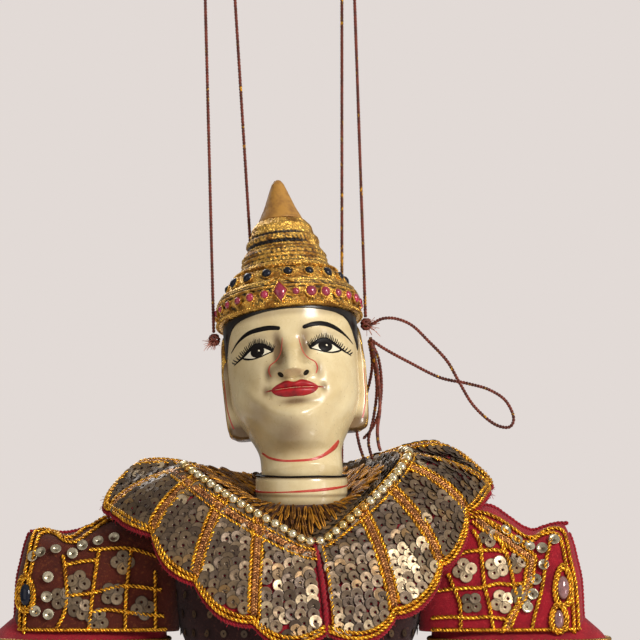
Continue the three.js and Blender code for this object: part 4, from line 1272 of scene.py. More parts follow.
def head_piece():
    t = (around(260) - 0.5 * np.sin(around(260)))[:, None]  # columns crowd towards the face
    heights = np.concatenate([np.linspace(0.3, 34.4, 96), np.linspace(34.6, 42, 34),
                              np.linspace(42.3, RIM_H - 0.3, 64)])
    ball_h = np.linspace(-12, -0.4, 14)
    ball_r = np.sqrt(BALL_R**2 - (ball_h - NOD_POINT[2]) ** 2)
    rings = np.concatenate([grid(*oval(t, ball_r, ball_r, ball_r), ball_h[None]),
                            head_surface(t, heights[None])], 1)
    piece = in_head("head_enamel", lofted(rings.transpose(1, 0, 2)), FACE)
    x, y, h = into_head(piece).T
    # the hollow value holds both varnish stain and painted shade
    keep_value(piece, "hollow", head_grime_and_shade(x, h, smooth(6, -6, y)))
    return piece


settle(head_piece(), "head_unit", ["head"])

# %% [markdown]
# ## Painted features
# Brows, eyes, lips and red lines are single brush strokes laid over the enamel, each wide where
# the brush was pressed and thin where it was lifted. A stroke is a ribbon that follows the carved
# surface a hair above it, so its edge stays as crisp as paint.


# %% Strokes on the face
def face_point(x, h, lift=0.0):
    """The carved surface at sideways x and height h, raised by lift."""
    x, h = np.broadcast_arrays(np.asarray(x, float), np.asarray(h, float))
    half = through(HEAD_RINGS, h)[0]
    t = np.arcsin(np.clip(x / half, -0.999, 0.999))
    for _ in range(6):
        t = t + (x - head_surface(t, h, carved=False)[..., 0]) / (half * np.maximum(np.cos(t), 0.05))
    p = head_surface(t, h)
    along = head_surface(t + 0.01, h) - head_surface(t - 0.01, h)
    upward = head_surface(t, h + 0.15) - head_surface(t, h - 0.15)
    return p + unit(np.cross(along, upward)) * lift


def painted(name, shape, finish, lift=0.07):
    """Paint film over grids of x and h: a thin skin standing on the surface."""
    return in_head(name, skin(face_point(*shape, lift), face_point(*shape, lift - 0.25)), finish)


def flat_route(points, count):
    return smooth_route([(x, h, 0) for x, h in points], count)[:, :2]


def stroke(centre, widths, count=70, across=5):
    """Grids of x and h for a brush stroke along (x, h) points with its widths."""
    route = flat_route(centre, count)
    ahead = unit(np.gradient(route, axis=0))
    side = np.stack([-ahead[:, 1], ahead[:, 0]], -1)
    share = np.linspace(0, 1, len(route))
    width = through(np.column_stack([np.linspace(0, 1, len(widths)), widths]), share)[0]
    width = np.maximum(width, 0.06)
    ends = np.sqrt(np.clip(np.minimum(share / 0.02, (1 - share) / 0.02), 0.02, 1))
    off = np.linspace(-0.5, 0.5, across)[None, :, None] * (width * ends)[:, None, None]
    brushed = route[:, None] + side[:, None] * off
    return brushed[..., 0], brushed[..., 1]


def between(lower, upper, across=14, count=90):
    """Grids of x and h for a filled shape between two outlines with the same ends."""
    edges = []
    for route in (flat_route(lower, count), flat_route(upper, count)):
        even = np.linspace(0, len(route) - 1, count)
        edges.append(np.stack([np.interp(even, np.arange(len(route)), route[:, k]) for k in (0, 1)],
                              -1)[:, None])
    share = np.linspace(0, 1, across)[None, :, None]
    filled = edges[0] * (1 - share) + edges[1] * share
    return filled[..., 0], filled[..., 1]


def joined(name, pieces):
    """One piece from several of the same body."""
    mesh = bpy.data.meshes.new(name)
    target = bmesh.new()
    for index, piece in enumerate(pieces):
        mesh.materials.append(piece.data.materials[0])
        start = len(target.faces)
        target.from_mesh(piece.data)
        target.faces.ensure_lookup_table()
        for face in target.faces[start:]:
            face.material_index = index
        bpy.data.objects.remove(piece)
    target.to_mesh(mesh)
    target.free()
    return link(name, mesh)


def disc(x, h, rx, rh, turn=0.0):
    """Grids of x and h for a filled oval spot."""
    a, r = np.linspace(0, 2 * math.pi, 31)[:, None], np.linspace(0.02, 1, 6)[None]
    u, v = rx * r * np.cos(a), rh * r * np.sin(a)
    c, s = math.cos(turn), math.sin(turn)
    return x + u * c - v * s, h + u * s + v * c


def mirrored(points, side):
    return [(side * x, h) for x, h in points]


# %% Brows, eyes, lips and lines
BROW = {"left": [(-3.9, 57.3), (-8, 58.0), (-12.3, 58.1), (-17.6, 57.7), (-22.2, 55.7), (-25.7, 52.6)],
        "right": [(5.4, 56.9), (10.4, 58.3), (14.9, 58.5), (19.4, 57.2), (23, 55.1), (26.2, 52.3)]}
BROW_WIDTHS = (1.5, 2.0, 2.1, 1.8, 1.0, 0.3)
LID_UPPER = [(7.6, 48.3), (9.6, 49.9), (12.2, 51.5), (15, 52.0), (17.8, 50.6), (20.6, 48.6), (24.9, 46.6)]
LID_LOWER = [(7.6, 48.3), (10.4, 47.4), (13.4, 46.6), (16.6, 46.4), (19.4, 47.2), (21, 48.2)]
PUPIL = (14.3, 49.2)
LIP_TOP = [(-10.2, 30.7), (-7.4, 32.4), (-3.3, 33.9), (0, 32.9), (3.3, 33.9), (7.4, 32.4), (10.2, 30.7)]
LIP_LOW = [(-10.2, 30.7), (-8.4, 28.4), (-4.6, 27.0), (0, 26.8), (4.6, 27.0), (8.4, 28.4), (10.2, 30.7)]


def lashes(side):
    """Short curved hairs along the upper lid, longer towards the tail."""
    lid = flat_route(LID_UPPER, 120)
    films = []
    for k, share in enumerate(np.linspace(0.02, 0.97, 27)):
        x, h = lid[int(share * (len(lid) - 1))]
        lean = -0.55 + 1.5 * share
        long = 2.3 + 0.3 * math.sin(2.1 * k)
        tip = (x + long * math.sin(lean), h + 0.5 + long * math.cos(lean))
        bend = ((x + tip[0]) / 2 + 0.14, (h + tip[1]) / 2 - 0.1)
        hair = stroke(mirrored([(x, h), bend, tip], SIDES[side]), (0.5, 0.42, 0.16), 10, 3)
        films.append(painted(f"lash_{side}_{k}", hair, INK, 0.1))
    return films


def eye(side):
    k = SIDES[side]
    upper_white = [(x, h) for x, h in LID_UPPER[:5]] + [(21, 48.3)]
    films = [painted("white_" + side, between(mirrored(LID_LOWER, k), mirrored(upper_white, k)), WHITE,
                     0.05),
             painted("iris_" + side, disc(k * PUPIL[0], PUPIL[1], 2.95, 2.6), INK, 0.09),
             painted("upper_" + side, stroke(mirrored(LID_UPPER, k), (1.0, 1.6, 1.9, 1.9, 1.5, 1.1, 0.3)),
                     INK, 0.11),
             painted("lower_" + side, stroke(mirrored(LID_LOWER, k), (0.6, 0.5, 0.55, 0.6, 0.8, 0.5)), INK,
                     0.1),
             painted("glint_" + side, disc(k * PUPIL[0] + 0.6, PUPIL[1] + 0.3, 0.34, 0.46, 0.4), WHITE,
                     0.13)]
    return films + lashes(side)


def red_lines():
    films = []
    for side, k in SIDES.items():
        beside = [(3.4, 53.6), (3.9, 50), (5.0, 46), (7.0, 43.4), (9.5, 41.6), (10.2, 39.2), (9.4, 36.4)]
        films.append(painted("nose_line_" + side,
                             stroke(mirrored(beside, k), (0.2, 0.3, 0.35, 0.45, 0.5, 0.5, 0.3)), LINE))
        tick = [(10.0, 30.7), (11.2, 30.8), (12.4, 30.8)]
        films.append(painted("lip_tick_" + side, stroke(mirrored(tick, k), (0.8, 0.4, 0.15), 20), LIP,
                             0.08))
    throat = [(-16.4, 9.2), (-13, 5.6), (-8, 3.2), (-2, 2.2), (5, 2.4), (10, 4.4), (14.5, 8.2),
              (16.6, 11.4)]
    return films + [painted("throat_line", stroke(throat, (0.5, 0.8, 0.9, 1.0, 1.1, 1.2, 1.4, 0.6)), LINE)]


def paint_face():
    films = red_lines() + [painted("lips", between(LIP_LOW, LIP_TOP, 22), LIP)]
    for side, k in SIDES.items():
        films += eye(side)
        films.append(painted("brow_" + side, stroke(BROW[side], BROW_WIDTHS), INK))
        films.append(painted("nostril_" + side, disc(k * 5.4, 36.5, 1.35, 0.62, k * 0.5), INK))
    return joined("face_painting", films)


settle(paint_face(), "head_unit")

# %% [markdown]
# ## Crown
# The crown was turned in three stages, then covered with relief of lacquer putty: rolled threads,
# rows of pellets and beds for glass stones. Leaf was pressed over all of it, so the gold is
# crumpled on the heights and missing in the grooves, where the dark putty shows. The bare spire is
# only washed with ochre. A profile gives each stage its outline, and the relief is a height that
# depends on the turn and on how high it stands.


# %% Turned stages with relief
def ripple(t, h, seed, count=14):
    """Uneven hand-made surface: waves of whole numbers round the piece, from -1 to 1."""
    rng = np.random.default_rng(seed)
    total = 0.0
    for _ in range(count):
        round_t, up, phase = rng.integers(5, 60), rng.uniform(0.5, 4), rng.uniform(0, 6.28)
        total = total + np.sin(round_t * t + up * h + phase)
    return total / count**0.5 / 1.6


def rounded(profile, step=0.28, soften=2):
    """Points of a profile, evenly spaced, with its corners worn round."""
    profile = np.array(profile, float)
    walked = walk(profile)
    even = np.arange(0, walked[-1], step)
    line = np.stack([np.interp(even, walked, profile[:, k]) for k in (0, 1)], -1)
    line = np.vstack([line, profile[-1:]])
    for _ in range(soften):
        line[1:-1] = (line[:-2] + 2 * line[1:-1] + line[2:]) / 4
    return line


def turned_piece(name, profile, finish, relief=None, columns=330, place=from_head, soften=2, step=0.28):
    """A turned solid in the head's frame. relief(t, h, r) is the height that stands out of it."""
    line = rounded(profile, step, soften)
    line = line[line[:, 0] > 0.05]
    t = around(columns)[:, None]
    r, h = line[None, :, 0], line[None, :, 1]
    out = relief(t, h, r) if relief else 0.0 * t * r
    slope = unit(np.stack([np.gradient(line[:, 1]), -np.gradient(line[:, 0])], -1))
    radius = r + out * slope[None, :, 0]
    rings = grid(radius * np.sin(t), -radius * np.cos(t), h + out * slope[None, :, 1])
    points, faces = lofted(rings.transpose(1, 0, 2))
    made = new_piece(name, place(points), faces, finish)
    if relief:  # how deep each point lies in a groove; the two hubs of the end caps come last
        keep_value(made, "recess", np.concatenate([smooth(-0.06, -0.34, out).ravel(), [0, 0]]))
    return made


# %% Relief of the three stages
def rolls(h, heights, size=0.4, depth=0.5):
    """Rolled threads of putty that run round, with a groove beside each."""
    return sum(size * bump(h - at, 0.42) - depth * bump(h - at - 0.95, 0.3) - depth * bump(h - at + 0.95,
                                                                                           0.3)
               for at in heights)


def pellets(t, h, at, count, size=0.5):
    return size * bump(h - at, 0.55) * (0.5 + 0.5 * np.cos(count * t)) ** 0.8 - 0.3 * bump(h - at, 0.8)


def band_relief(t, h, r):
    scroll = 0.42 * np.sin(15 * t + 1.1 * np.sin(h * 1.9)) * np.sin(30 * t + h * 1.4) * bump(h - 71.8, 2.9)
    leaves = 0.5 * (np.abs(np.sin(8.5 * t)) - 0.55) * bump(h - 82.2, 2.4)
    crumple = (0.16 + 0.08 * smooth(64, 70, h)) * ripple(t, h, 5)
    return (scroll + leaves + crumple + rolls(h, (75.3, 78.3)) + pellets(t, h, 69.3,
                                                                         128) + pellets(t, h, 85.0, 84)
            + pellets(t, h, 79.4, 100, 0.35))


def tiers_relief(t, h, r):
    slots = -0.85 * (bump(h - 103.4, 0.6) + bump(h - 99.2, 0.65)) * smooth(0.9, 0.3,
                                                                           np.sin((t + 0.7) / 2) ** 2 * 1.6)
    return (0.2 * ripple(t, h, 9) + rolls(h, (88.6, 92.6, 96.4), 0.35, 0.3) + slots
            + pellets(t, h, 90.6, 66, 0.4) + pellets(t, h, 94.8, 60, 0.4) + pellets(t, h, 101.2, 52, 0.3))


def spire_relief(t, h, r):
    return 0.09 * ripple(t, h, 12) * smooth(0.4, 3, r)


BAND = [(0, 66.4), (29.6, 66.4), (30.7, 67.2), (30.2, 68.4), (29.7, 69.6), (30.3, 70.8), (30.2, 75.6),
        (29.6, 77.4),
        (28, 78.6), (25.8, 79.6), (23.8, 84.2), (22.6, 85.6), (0, 85.6)]
TIERS = [(0, 85.9), (21.6, 85.9), (22.2, 86.8), (19.9, 88.6), (18.3, 91.4), (17.9, 94), (18.2, 95.2),
         (16.3, 96.6),
         (15.3, 99.4), (15.8, 101), (15.4, 102.4), (13.9, 103.8), (13.0, 106.4), (12.9, 107.8),
         (11.5, 109.4),
         (10.4, 110.8), (0, 110.8)]
SPIRE = [(0, 111.1), (9.7, 111.1), (8.9, 113), (7.2, 116.4), (5.7, 120), (4.2, 124), (2.6, 128),
         (1.3, 129.8), (0, 130.2)]
for name, node, profile, finish, relief, columns, slot in (
        ("crown_band_leaf", "crown_band", BAND, LEAF, band_relief, 330, "gilt"),
        ("crown_tiers_leaf", "crown_tiers", TIERS, LEAF, tiers_relief, 280, "gilt"),
        ("crown_spire_wash", "crown_spire", SPIRE, OCHRE, spire_relief, 96, "ochre")):
    settle(turned_piece(name, profile, finish, relief, columns), "head_unit", [node])


# %% Stones and pellets
def on_crown(turns, heights, profile, lift=0.0):
    """Points, outward directions and upward directions on a stage."""
    turns, heights = np.radians(turns), np.asarray(heights, float)
    line = np.array(profile[1:-1], float)
    r = np.interp(heights, line[:, 1], line[:, 0])
    steep = (np.interp(heights + 0.8, line[:, 1], line[:, 0]) - np.interp(heights - 0.8, line[:, 1],
                                                                          line[:, 0])) / 1.6
    up = unit(np.stack([steep * np.sin(turns), -steep * np.cos(turns), np.ones_like(turns)], -1))
    out = unit(np.cross(np.stack([np.cos(turns), np.sin(turns), 0 * turns], -1), up))
    points = np.stack([r * np.sin(turns), -r * np.cos(turns), heights], -1) + out * lift
    return from_head(points), out @ HEAD_TURN.T, up @ HEAD_TURN.T


def set_stones(name, turns, heights, sizes, shape, finish, profile, lift=0.35):
    points, out, up = on_crown(turns, heights, profile, lift)
    made = sew(name, SHAPES[shape], points, out, up, finish, size=sizes, jitter=0.06, seed=2)
    return settle(made, "head_unit")


def row(step, start, count, height):
    return start + step * np.arange(count), np.full(count, height, float)


rng = np.random.default_rng(21)
ruby_turns, ruby_heights = row(12.4, 7.4, 28, 72.0)
ruby_sizes = 1.45 + 0.55 * rng.random(28)
ruby_sizes[[0, 1, 2, 3]] = 1.6, 2.35, 2.15, 1.8
night_turns, night_heights = row(21.2, 3, 17, 82.4)
night_sizes = 1.75 + 0.6 * rng.random(17)
set_stones("rubies", ruby_turns, ruby_heights, ruby_sizes, "dome", RUBY, BAND)
set_stones("ruby_beds", ruby_turns, ruby_heights, ruby_sizes, "bezel", LEAF, BAND, 0.3)
set_stones("night_stones", night_turns, night_heights, night_sizes, "dome", NIGHT, BAND)
set_stones("night_beds", night_turns, night_heights, night_sizes, "bezel", LEAF, BAND, 0.25)
set_stones("front_stone", [-5.0], [72.6], [1.4], "lozenge", RUBY, BAND, 0.4)
set_stones("front_bed", [-5.0], [72.6], [1.4], "lozenge_bed", LEAF, BAND, 0.4)
rim_turns, rim_heights = row(360 / 150, 0, 150, 67.3)
set_stones("rim_pellets", rim_turns, rim_heights, 0.33, "bead", LEAF, BAND, 0.15)
ring_turns, ring_heights = row(360 / 90, 2, 90, 86.9)
set_stones("ring_pellets", ring_turns, ring_heights, 0.3, "bead", LEAF, TIERS, 0.1)
arch = on_crown(np.linspace(-17, 7, 60), 76.4 + 4.4 * (1 - np.abs(np.linspace(-1, 1, 60))) ** 1.4, BAND,
                0.5)
trim("front_arch", [arch[:2]], LEAF, 0.0, 0.55, 2.0, "head_unit", "gilt", strands=1)
print("stones:", len(ruby_turns) + len(night_turns) + 1)

# %% [markdown]
# ## Hair, ears and neck
# Black lacquer under the crown reads as hair and draws down before each ear. The ears are long
# flaps that end in a heavy square lobe, edged with gold and a thin red line. The neck stands in a
# turned cup, and a painted shadow lies dark in the seam where the head nods.


# %% Hair
def hair_edge(t):
    turn = np.abs(np.arctan2(np.sin(t), np.cos(t)))
    return np.interp(np.degrees(turn), (0, 20, 45, 55, 62, 69, 76, 84, 92, 112, 128),
                     (65.5, 65.3, 64.2, 63.2, 61.6, 58.6, 54.4, 51, 55, 54, 26))


def hair_piece():
    t, v = around(200)[:, None], np.linspace(0, 1, 24)[None]
    low = hair_edge(t)
    h = low + (RIM_H - 0.3 - low) * v
    thick = 0.2 + 0.5 * smooth(0, 0.12, v) ** 0.6
    return in_head("hair_lacquer", skin(head_surface(t, h, thick), head_surface(t, h, -0.3), True), BLACK)


settle(hair_piece(), "head_unit", ["hair_cap"])

# %% Ears
EAR_RINGS = [
    [18.2, 17, 26.4], [19.2, 16.6, 28.3], [22, 18, 29.6], [26, 22, 30.1], [31, 25.6, 30.3],
    [38, 26.4, 30.5],
    [46, 26.6, 30.6], [53, 26.8, 30.2], [60, 26.8, 29.6], [62.4, 27, 29]]


EAR_HALF_DEPTH, EAR_Y = 4.6, 3.6


def ear_point(side, turn, h, out=0.0):
    low, high = through(EAR_RINGS, h)
    x, y = oval(turn, (high - low) / 2 + out, EAR_HALF_DEPTH + out, EAR_HALF_DEPTH + out, 3.2)
    return grid(side * (low + high) / 2 + x, EAR_Y + y, h)


def ear_piece(name, side):
    h = np.concatenate([[18.2, 18.4, 18.7], np.linspace(19.2, 62, 100), [62.4]])[:, None]
    made = in_head("ear_enamel_" + name, lofted(ear_point(side, around(72)[None], h)), FACE)
    x, _, height = into_head(made).T
    low, high = through(EAR_RINGS, height)
    inward = (np.abs(x) - low) / (high - low)
    # grime and painted shade: darker at the foot of the lobe, on the side against the head and at the top under the
    # crown, and the whole left ear darker, away from the light
    grime_and_shade = 1.3 * bump(height - 19.4, 4.6) + 0.4 * bump(inward, 0.3) * (height < 34) + 0.5 * smooth(44, 54,
                                                                                                  height)
    keep_value(made, "hollow", np.clip(grime_and_shade + 0.6 * (side < 0) * smooth(26, 38, height), 0, 1))
    return made


def ear_trim(name, side):
    """Gold along the outer edge and the foot of the lobe, with a red line inside it."""
    films = []
    h = np.linspace(19.2, 61.6, 130)[:, None]
    outward = side * math.pi / 2
    worn = 0.45 + 0.75 * smooth(44, 54, h) + (0.5 * smooth(33, 42, h) if side < 0 else 0)
    for title, middle, half, finish, lift in (("gold", 0.0, worn, LEAF, 0.12),
                                              ("red", -1.12, 0.07, LINE, 0.14)):
        if title == "red":
            h = h[(h[:, 0] > 22) & (h[:, 0] < 44)]
        turn = outward + side * (middle + half * np.linspace(-1, 1, 14)[None])
        film = skin(ear_point(side, turn, h, lift), ear_point(side, turn, h, -0.1))
        films.append(in_head(f"ear_{title}_{name}", film, finish))
    return joined("ear_trim_" + name, films)


for name, side in SIDES.items():
    settle(ear_piece(name, side), "head_unit", ["ear_" + name])
    settle(ear_trim(name, side), "head_unit")


# %% Neck socket
def as_puppet(points):
    return np.asarray(points, float) + [1, 0, 0]


CUP_R, NECK_R = 18.2, 19.4  # hollow and outside of the socket


def socket_piece():
    cup = [(CUP_R * math.cos(a), NOD_POINT[2] + CUP_R * math.sin(a)) for a in np.radians(np.linspace(-17, -89, 40))]
    profile = [(0, -14), (18.6, -14), (19, -13.6), (19, -9), (19.4, -7.8), (19.4, -2), (18.9, -0.6),
               (18.3, -0.3)] + cup
    made = turned_piece("socket_enamel", profile, FACE, columns=150, place=as_puppet, soften=1, step=0.45)
    z = points_of(made)[:, 2]
    # painted shade: darker in the seam under the head, in the groove and low down under the collar
    keep_value(made, "hollow", 1.2 * bump(z + 0.2, 1.1) + 0.5 * bump(z + 8.3, 0.7) + 0.7 * bump(z + 13,
                                                                                                3.2))
    return made


def socket_line():
    t = np.linspace(-math.pi, math.pi, 240)[:, None]
    across = np.linspace(-0.5, 0.5, 5)[None]
    z = -6.4 + 2.6 * (1 - np.cos(t)) * 0.4 + 1.2 * np.sin(t) + across * (0.9 + 0.35 * np.sin(3 * t))
    points, faces = skin(*(grid(*oval(t, r, r, r), z) for r in (NECK_R + 0.08, NECK_R - 0.2)))
    return new_piece("socket_line", as_puppet(points), faces, LINE)


# a thin dark ring laid in the gap between the neck and its cup: painted shadow
def seam_shadow():
    t = np.linspace(-math.pi, math.pi, 200)
    line = grid(19.1 * np.sin(t), -19.1 * np.cos(t), -0.25 + 0.12 * np.sin(5 * t))
    return trim("neck_seam", [(as_puppet(line), (0, 0, 1))], INK, 0.0, 0.42, 2.4, slot="face_paint",
                strands=1)


seam_shadow()
settle(socket_piece(), "trunk", ["neck_socket"])
settle(socket_line(), "trunk")


# %% Temple knots and frayed ends
def wound_knot(centre, radius=2.1, turns=8):
    a = np.linspace(0, turns * 2 * math.pi, turns * 44)
    lean = 1.15 * np.sin(0.37 * a)
    ball = np.stack([np.cos(a) * np.cos(lean), np.sin(a) * np.cos(lean), np.sin(lean) * 1.1], -1) * radius
    return centre + ball, ball


def frayed(centre, towards, seed, length=4.6):
    rng = np.random.default_rng(seed)
    lines = []
    for _ in range(40):
        aim = unit(np.asarray(towards, float) + rng.normal(0, 0.4, 3))
        bend = rng.normal(0, 1.3, 3)
        share = np.linspace(0, 1, 8)[:, None]
        lines.append((centre + aim * share * length * rng.uniform(0.5, 1) + bend * share**2, (0, 0, 1)))
    return lines


for name, side in SIDES.items():
    middle = from_head(np.array(TEMPLE_KNOTS[name], float))
    knot = ply("knot_" + name, [wound_knot(middle)], STRING, 0.0, 0.52, 2.0, strands=1)
    settle(knot, "head_unit", ["temple_knot_" + name])
    aim = (-0.5, -0.6, -0.9) if name == "left" else (0.9, -0.5, -0.25)
    trim("frayed_" + name, frayed(middle, aim, 3 + side), FRAY, 0.0, 0.11, 0.8, "head_unit", "string",
         strands=1)

# %% [markdown]
# ## Shoulder wings
# Each shoulder has a stiff hood of red cotton. Its top is pinched into a piped ridge that dips and
# rises to a corner, and its front is a lattice of gold cord with a flower of four sequins in each
# field, a row of cup-shaped spangles, and teardrops of bullion round glass cabochons at the outer
# edge. The hood is a height field: at each sideways x and height z its front lies as far forward
# as the distance below the ridge says, so every trim is placed by x and z alone.


# %% Surface of a wing
RIDGES = {  # x outwards, height of the ridge
    "right": [(50, -20), (62, -16.5), (72, -14), (81.7, -13.6), (88.3, -18), (94.8, -22.4), (98.8, -23.6),
              (103.3, -22.2), (108.6, -20.8), (114, -20.6)],
    "left": [(50, -23), (62, -21), (72, -19.5), (81, -19.6), (88.3, -22), (94.8, -24), (98.8, -24.6),
             (103.3, -24.4), (108.6, -24), (114, -24.2)]}
WING_OUTER = [(-18, 110.5), (-23, 113.2), (-28, 115.2), (-36, 117.2), (-43, 118.8), (-50, 119.4),
              (-58.5, 119.8), (-66, 120.6)]
WING_DEPTH = [(0, 0.5), (0.6, 3.2), (1.6, 6.3), (3.5, 9.6), (6, 12.2), (14, 15.4), (26, 17.6), (38, 19.4)]
WING_INNER, WING_FOOT, WING_POWER = 50.5, -65.5, 3.4


def down_table(table, z):
    return through([(-a, b) for a, b in table], -np.asarray(z, float))[0]


def wing_y(side, x, z):
    """How far the hood's front stands forward at x outwards and height z."""
    half = (down_table(WING_OUTER, z) - WING_INNER) / 2
    off = np.clip(np.abs(x - WING_INNER - half) / half, 0, 1)
    below = np.maximum(through(RIDGES[side], x)[0] - z, 0)
    return -through(WING_DEPTH, below)[0] * (1 - off**WING_POWER) ** (1 / WING_POWER)


def wing(side, x, z, lift=0.0):
    """A point on the front, lifted off the cloth, with the way out of it and the way down."""
    x, z = np.broadcast_arrays(np.asarray(x, float), np.asarray(z, float))

    def at(dx, dz):
        return grid(x + dx, wing_y(side, x + dx, z + dz), z + dz)
    down = at(0, -0.3) - at(0, 0.3)
    out = unit(np.cross(down, at(0.3, 0) - at(-0.3, 0)))
    flip = (SIDES[side], 1, 1)
    return (at(0, 0) + out * lift) * flip, out * flip, unit(down) * flip


def wing_cloth(side):
    a = np.radians(np.linspace(-84, 264, 300))[:, None]
    v = np.linspace(0, 1, 46)[None] ** 1.5
    across, forward = oval(a, 1, 1, 1, WING_POWER)
    z = -22 + (WING_FOOT + 22) * v
    for _ in range(3):
        half = (down_table(WING_OUTER, z) - WING_INNER) / 2
        x = WING_INNER + half + across * half
        top = through(RIDGES[side], x)[0]
        z = top + (WING_FOOT - top) * v
    depth = through(WING_DEPTH, np.maximum(top - z, 0))[0]
    skins = [grid(WING_INNER + half + across * half * (1 - inset / np.maximum(half, 1)),
                  forward * np.maximum(depth - inset, 0.1), z - inset * (v < 0.02)) * (SIDES[side], 1, 1)
             for inset in (0.0, CLOTH)]
    # the left wing takes the shaded copy of the red: painted shade
    return new_piece("wing_cloth_" + side, *skin(*skins), RED if side == "right" else SHADED_RED)


def on_arm(piece, side, slot, *replaced):
    """The piece stays fixed in the frame where it was placed and stands for CAD nodes."""
    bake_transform(piece)
    if replaced:
        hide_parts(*replaced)
    print(f"{piece.name}: {len(piece.data.polygons)} faces from trunk to arm")
    return piece


wing_sheets = {side: on_arm(wing_cloth(side), side, "sequin_cloth",
                            "shoulder_wing_" + side) for side in SIDES}

# %% Pattern of the trims
# x outwards and z, in millimetres, as drawn on the right wing
UNDER_RIDGE = [(72, -16.8), (76.5, -16), (83.1, -18.4), (89.6, -22.6), (95.5, -26.4), (100.1, -26.2),
               (104, -23.8),
               (108.6, -22.9), (111, -24), (112.4, -28), (113.6, -35), (115.3, -42.8), (116.2, -50),
               (117, -64.5)]
BORDER = [(75, -18.6), (80, -22.5), (87, -27), (93, -31.5), (97.6, -35.5), (96.9, -39.6), (96.2, -44.9),
          (93.5, -52),
          (89.6, -58), (87, -64.5)]
BORDER_OUT = [(106, -27), (104.2, -34), (103, -41), (101.6, -49), (99, -58), (97.6, -64.5)]
LATTICE = [
    [(62.8, -41), (64.8, -46.2), (67.4, -52.8), (68, -64.5)],
    [(73.2, -22.8), (75.9, -28), (76.9, -36.4), (77.9, -46.2), (79.8, -54), (81.6, -64.5)],
    [(82.6, -24.2), (87, -33.2), (89, -39.6), (90.2, -46.2), (91.9, -52), (92.4, -55)],
    [(56, -59.6), (64, -59), (72, -59.4), (80, -59), (87, -60)],
    [(62, -37), (66, -34), (70, -32), (77.9, -31.2), (83.1, -31.2), (87.6, -32.6)],
    [(58.4, -48.2), (63.6, -47.5), (70.2, -47), (76.6, -46.8), (83.1, -45.2), (89.6, -45.6), (96, -44.6)]]
FLOWERS = [(69.6, -39.6), (83, -38.4), (91.2, -36.4), (72.4, -53.2), (85.2, -52.6), (79.6, -25.6),
           (93.2, -50)]
FLOWERS_LEFT = [(74, -36.3), (78.2, -49.5), (92.6, -44.7), (92, -55.5), (84.8, -60.3), (65.6, -55.5),
                (99.4, -51.4)]
LATTICE_LEFT = [
    [(83.8, -30.4), (86, -45), (88.2, -64.5)], [(70.5, -31), (72.4, -48), (73, -64.5)],
    [(60.6, -40), (60.4, -64.5)],
    [(99, -33.6), (98, -42), (97.4, -50), (98.6, -58), (102, -64.5)],
    [(98.6, -37.6), (91, -36), (84.6, -35.4)],
    [(88, -31.2), (79, -30.6), (70.5, -30.8), (60, -34)],
    [(97.4, -50.4), (86.6, -49), (73, -46.2), (58, -48)],
    [(88, -57.4), (80, -56), (73, -57), (57, -59)]]
CUPS_LEFT = [(111.5, -34.2), (108.2, -32.7), (102.2, -31.6), (95, -32.9), (90.8, -29.8), (84.2, -28),
             (77.6, -26.6),
             (105.2, -42.6), (105.8, -50.7), (104.9, -58.2), (110.4, -57)]
CUPS = [(86.4, -23.4), (91.3, -27.6), (96.6, -30.2), (102.2, -30.8), (107.2, -27.4), (102.6, -37.6),
        (99.4, -43.6),
        (97.9, -49.6), (95.6, -55)]
TEARDROPS = {"right": [(110.6, -46.4, 3.1, 7.4), (108.8, -59.6, 2.9, 4.8)],
             "left": [(114.4, -49.4, 3.0, 6.4)]}
LATTICES, FLOWER_SPOTS, CUP_SPOTS = (
    {"right": right, "left": left} for right,
    left in ((LATTICE, LATTICE_LEFT), (FLOWERS, FLOWERS_LEFT), (CUPS, CUPS_LEFT)))


def wing_line(side, points, lift):
    return wing(side, *flat_route(points, 120).T, lift)[:2]


def ring_line(side, x, z, a, b, lift):
    """A closed teardrop on the wing, pointed at its top."""
    t = np.linspace(0, 2 * math.pi, 70)
    narrow = 1 - 0.35 * (0.5 + 0.5 * np.cos(t))
    return wing(side, x + a * np.sin(t) * narrow, z + b * np.cos(t), lift)[:2]


# %% Trims of the wings
def wing_cords(side):
    lines = [wing_line(side, [(x - dx, z - dx) for x, z in UNDER_RIDGE], 0.75) for dx in (0, 1.8)]
    lines += [wing_line(side, line, 0.6) for line in LATTICES[side]]
    if side == "right":
        lines += [wing_line(side, [(x + dx, z + dz) for x, z in BORDER], 0.7) for dx,
                  dz in ((-1.8, -1.1), (1.8, 1.1))]
        lines += [wing_line(side, BORDER_OUT, 0.7)]
    for x, z, a, b in TEARDROPS[side]:
        lines += [ring_line(side, x, z, a + grow_by, b + grow_by * 1.2, 0.9 + 0.25 * k)
                  for k, grow_by in enumerate((0.2, 1.2))]
    return ply("wing_cords_" + side, lines, GOLD, 0.5, 0.52, 3.9)


def flower(side, x, z, bright, seed):
    """Four sequins sewn to one point, each leaning on the next."""
    a = seed * 0.9 + around(4)
    size = 0.96 if side == "left" else 0.86 + 0.1 * bright
    place, out, _ = wing(side, x + 2.7 * size * np.cos(a), z + 2.7 * size * np.sin(a), 0.75)
    inward = wing(side, np.full(4, x), np.full(4, z), 0.75)[0] - place
    return place, out, inward, np.full(4, size)  # seed turns the flower


def wing_flowers(side, bright):
    # three flowers on the right wing, on the lit side, get a strong painted highlight; the others a faint one
    chosen = [f for k, f in enumerate(FLOWER_SPOTS[side]) if (side == "right" and k in (0, 1, 4)) == bright]
    if not chosen:
        return None
    sets = [flower(side, x, z, bright, k + 2 * bright) for k, (x, z) in enumerate(chosen)]
    place, out, inward, size = (np.concatenate([s[k] for s in sets]) for k in range(4))
    return sew(f"wing_flowers_{'bright' if bright else 'dark'}_{side}", SHAPES["sequin"], place, out,
               inward, SEQUIN,
               size=size, lean=-0.2, jitter=0.14, seed=5 + bright, shine=0.9 if bright else 0.12)


def wing_spangles(side):
    x, z = np.array(CUP_SPOTS[side]).T
    place, out, down = wing(side, x, z, 0.6)
    return sew("wing_spangles_" + side, SHAPES["cup"], place, out, down, SILVER, size=0.78, jitter=0.2,
               seed=11)


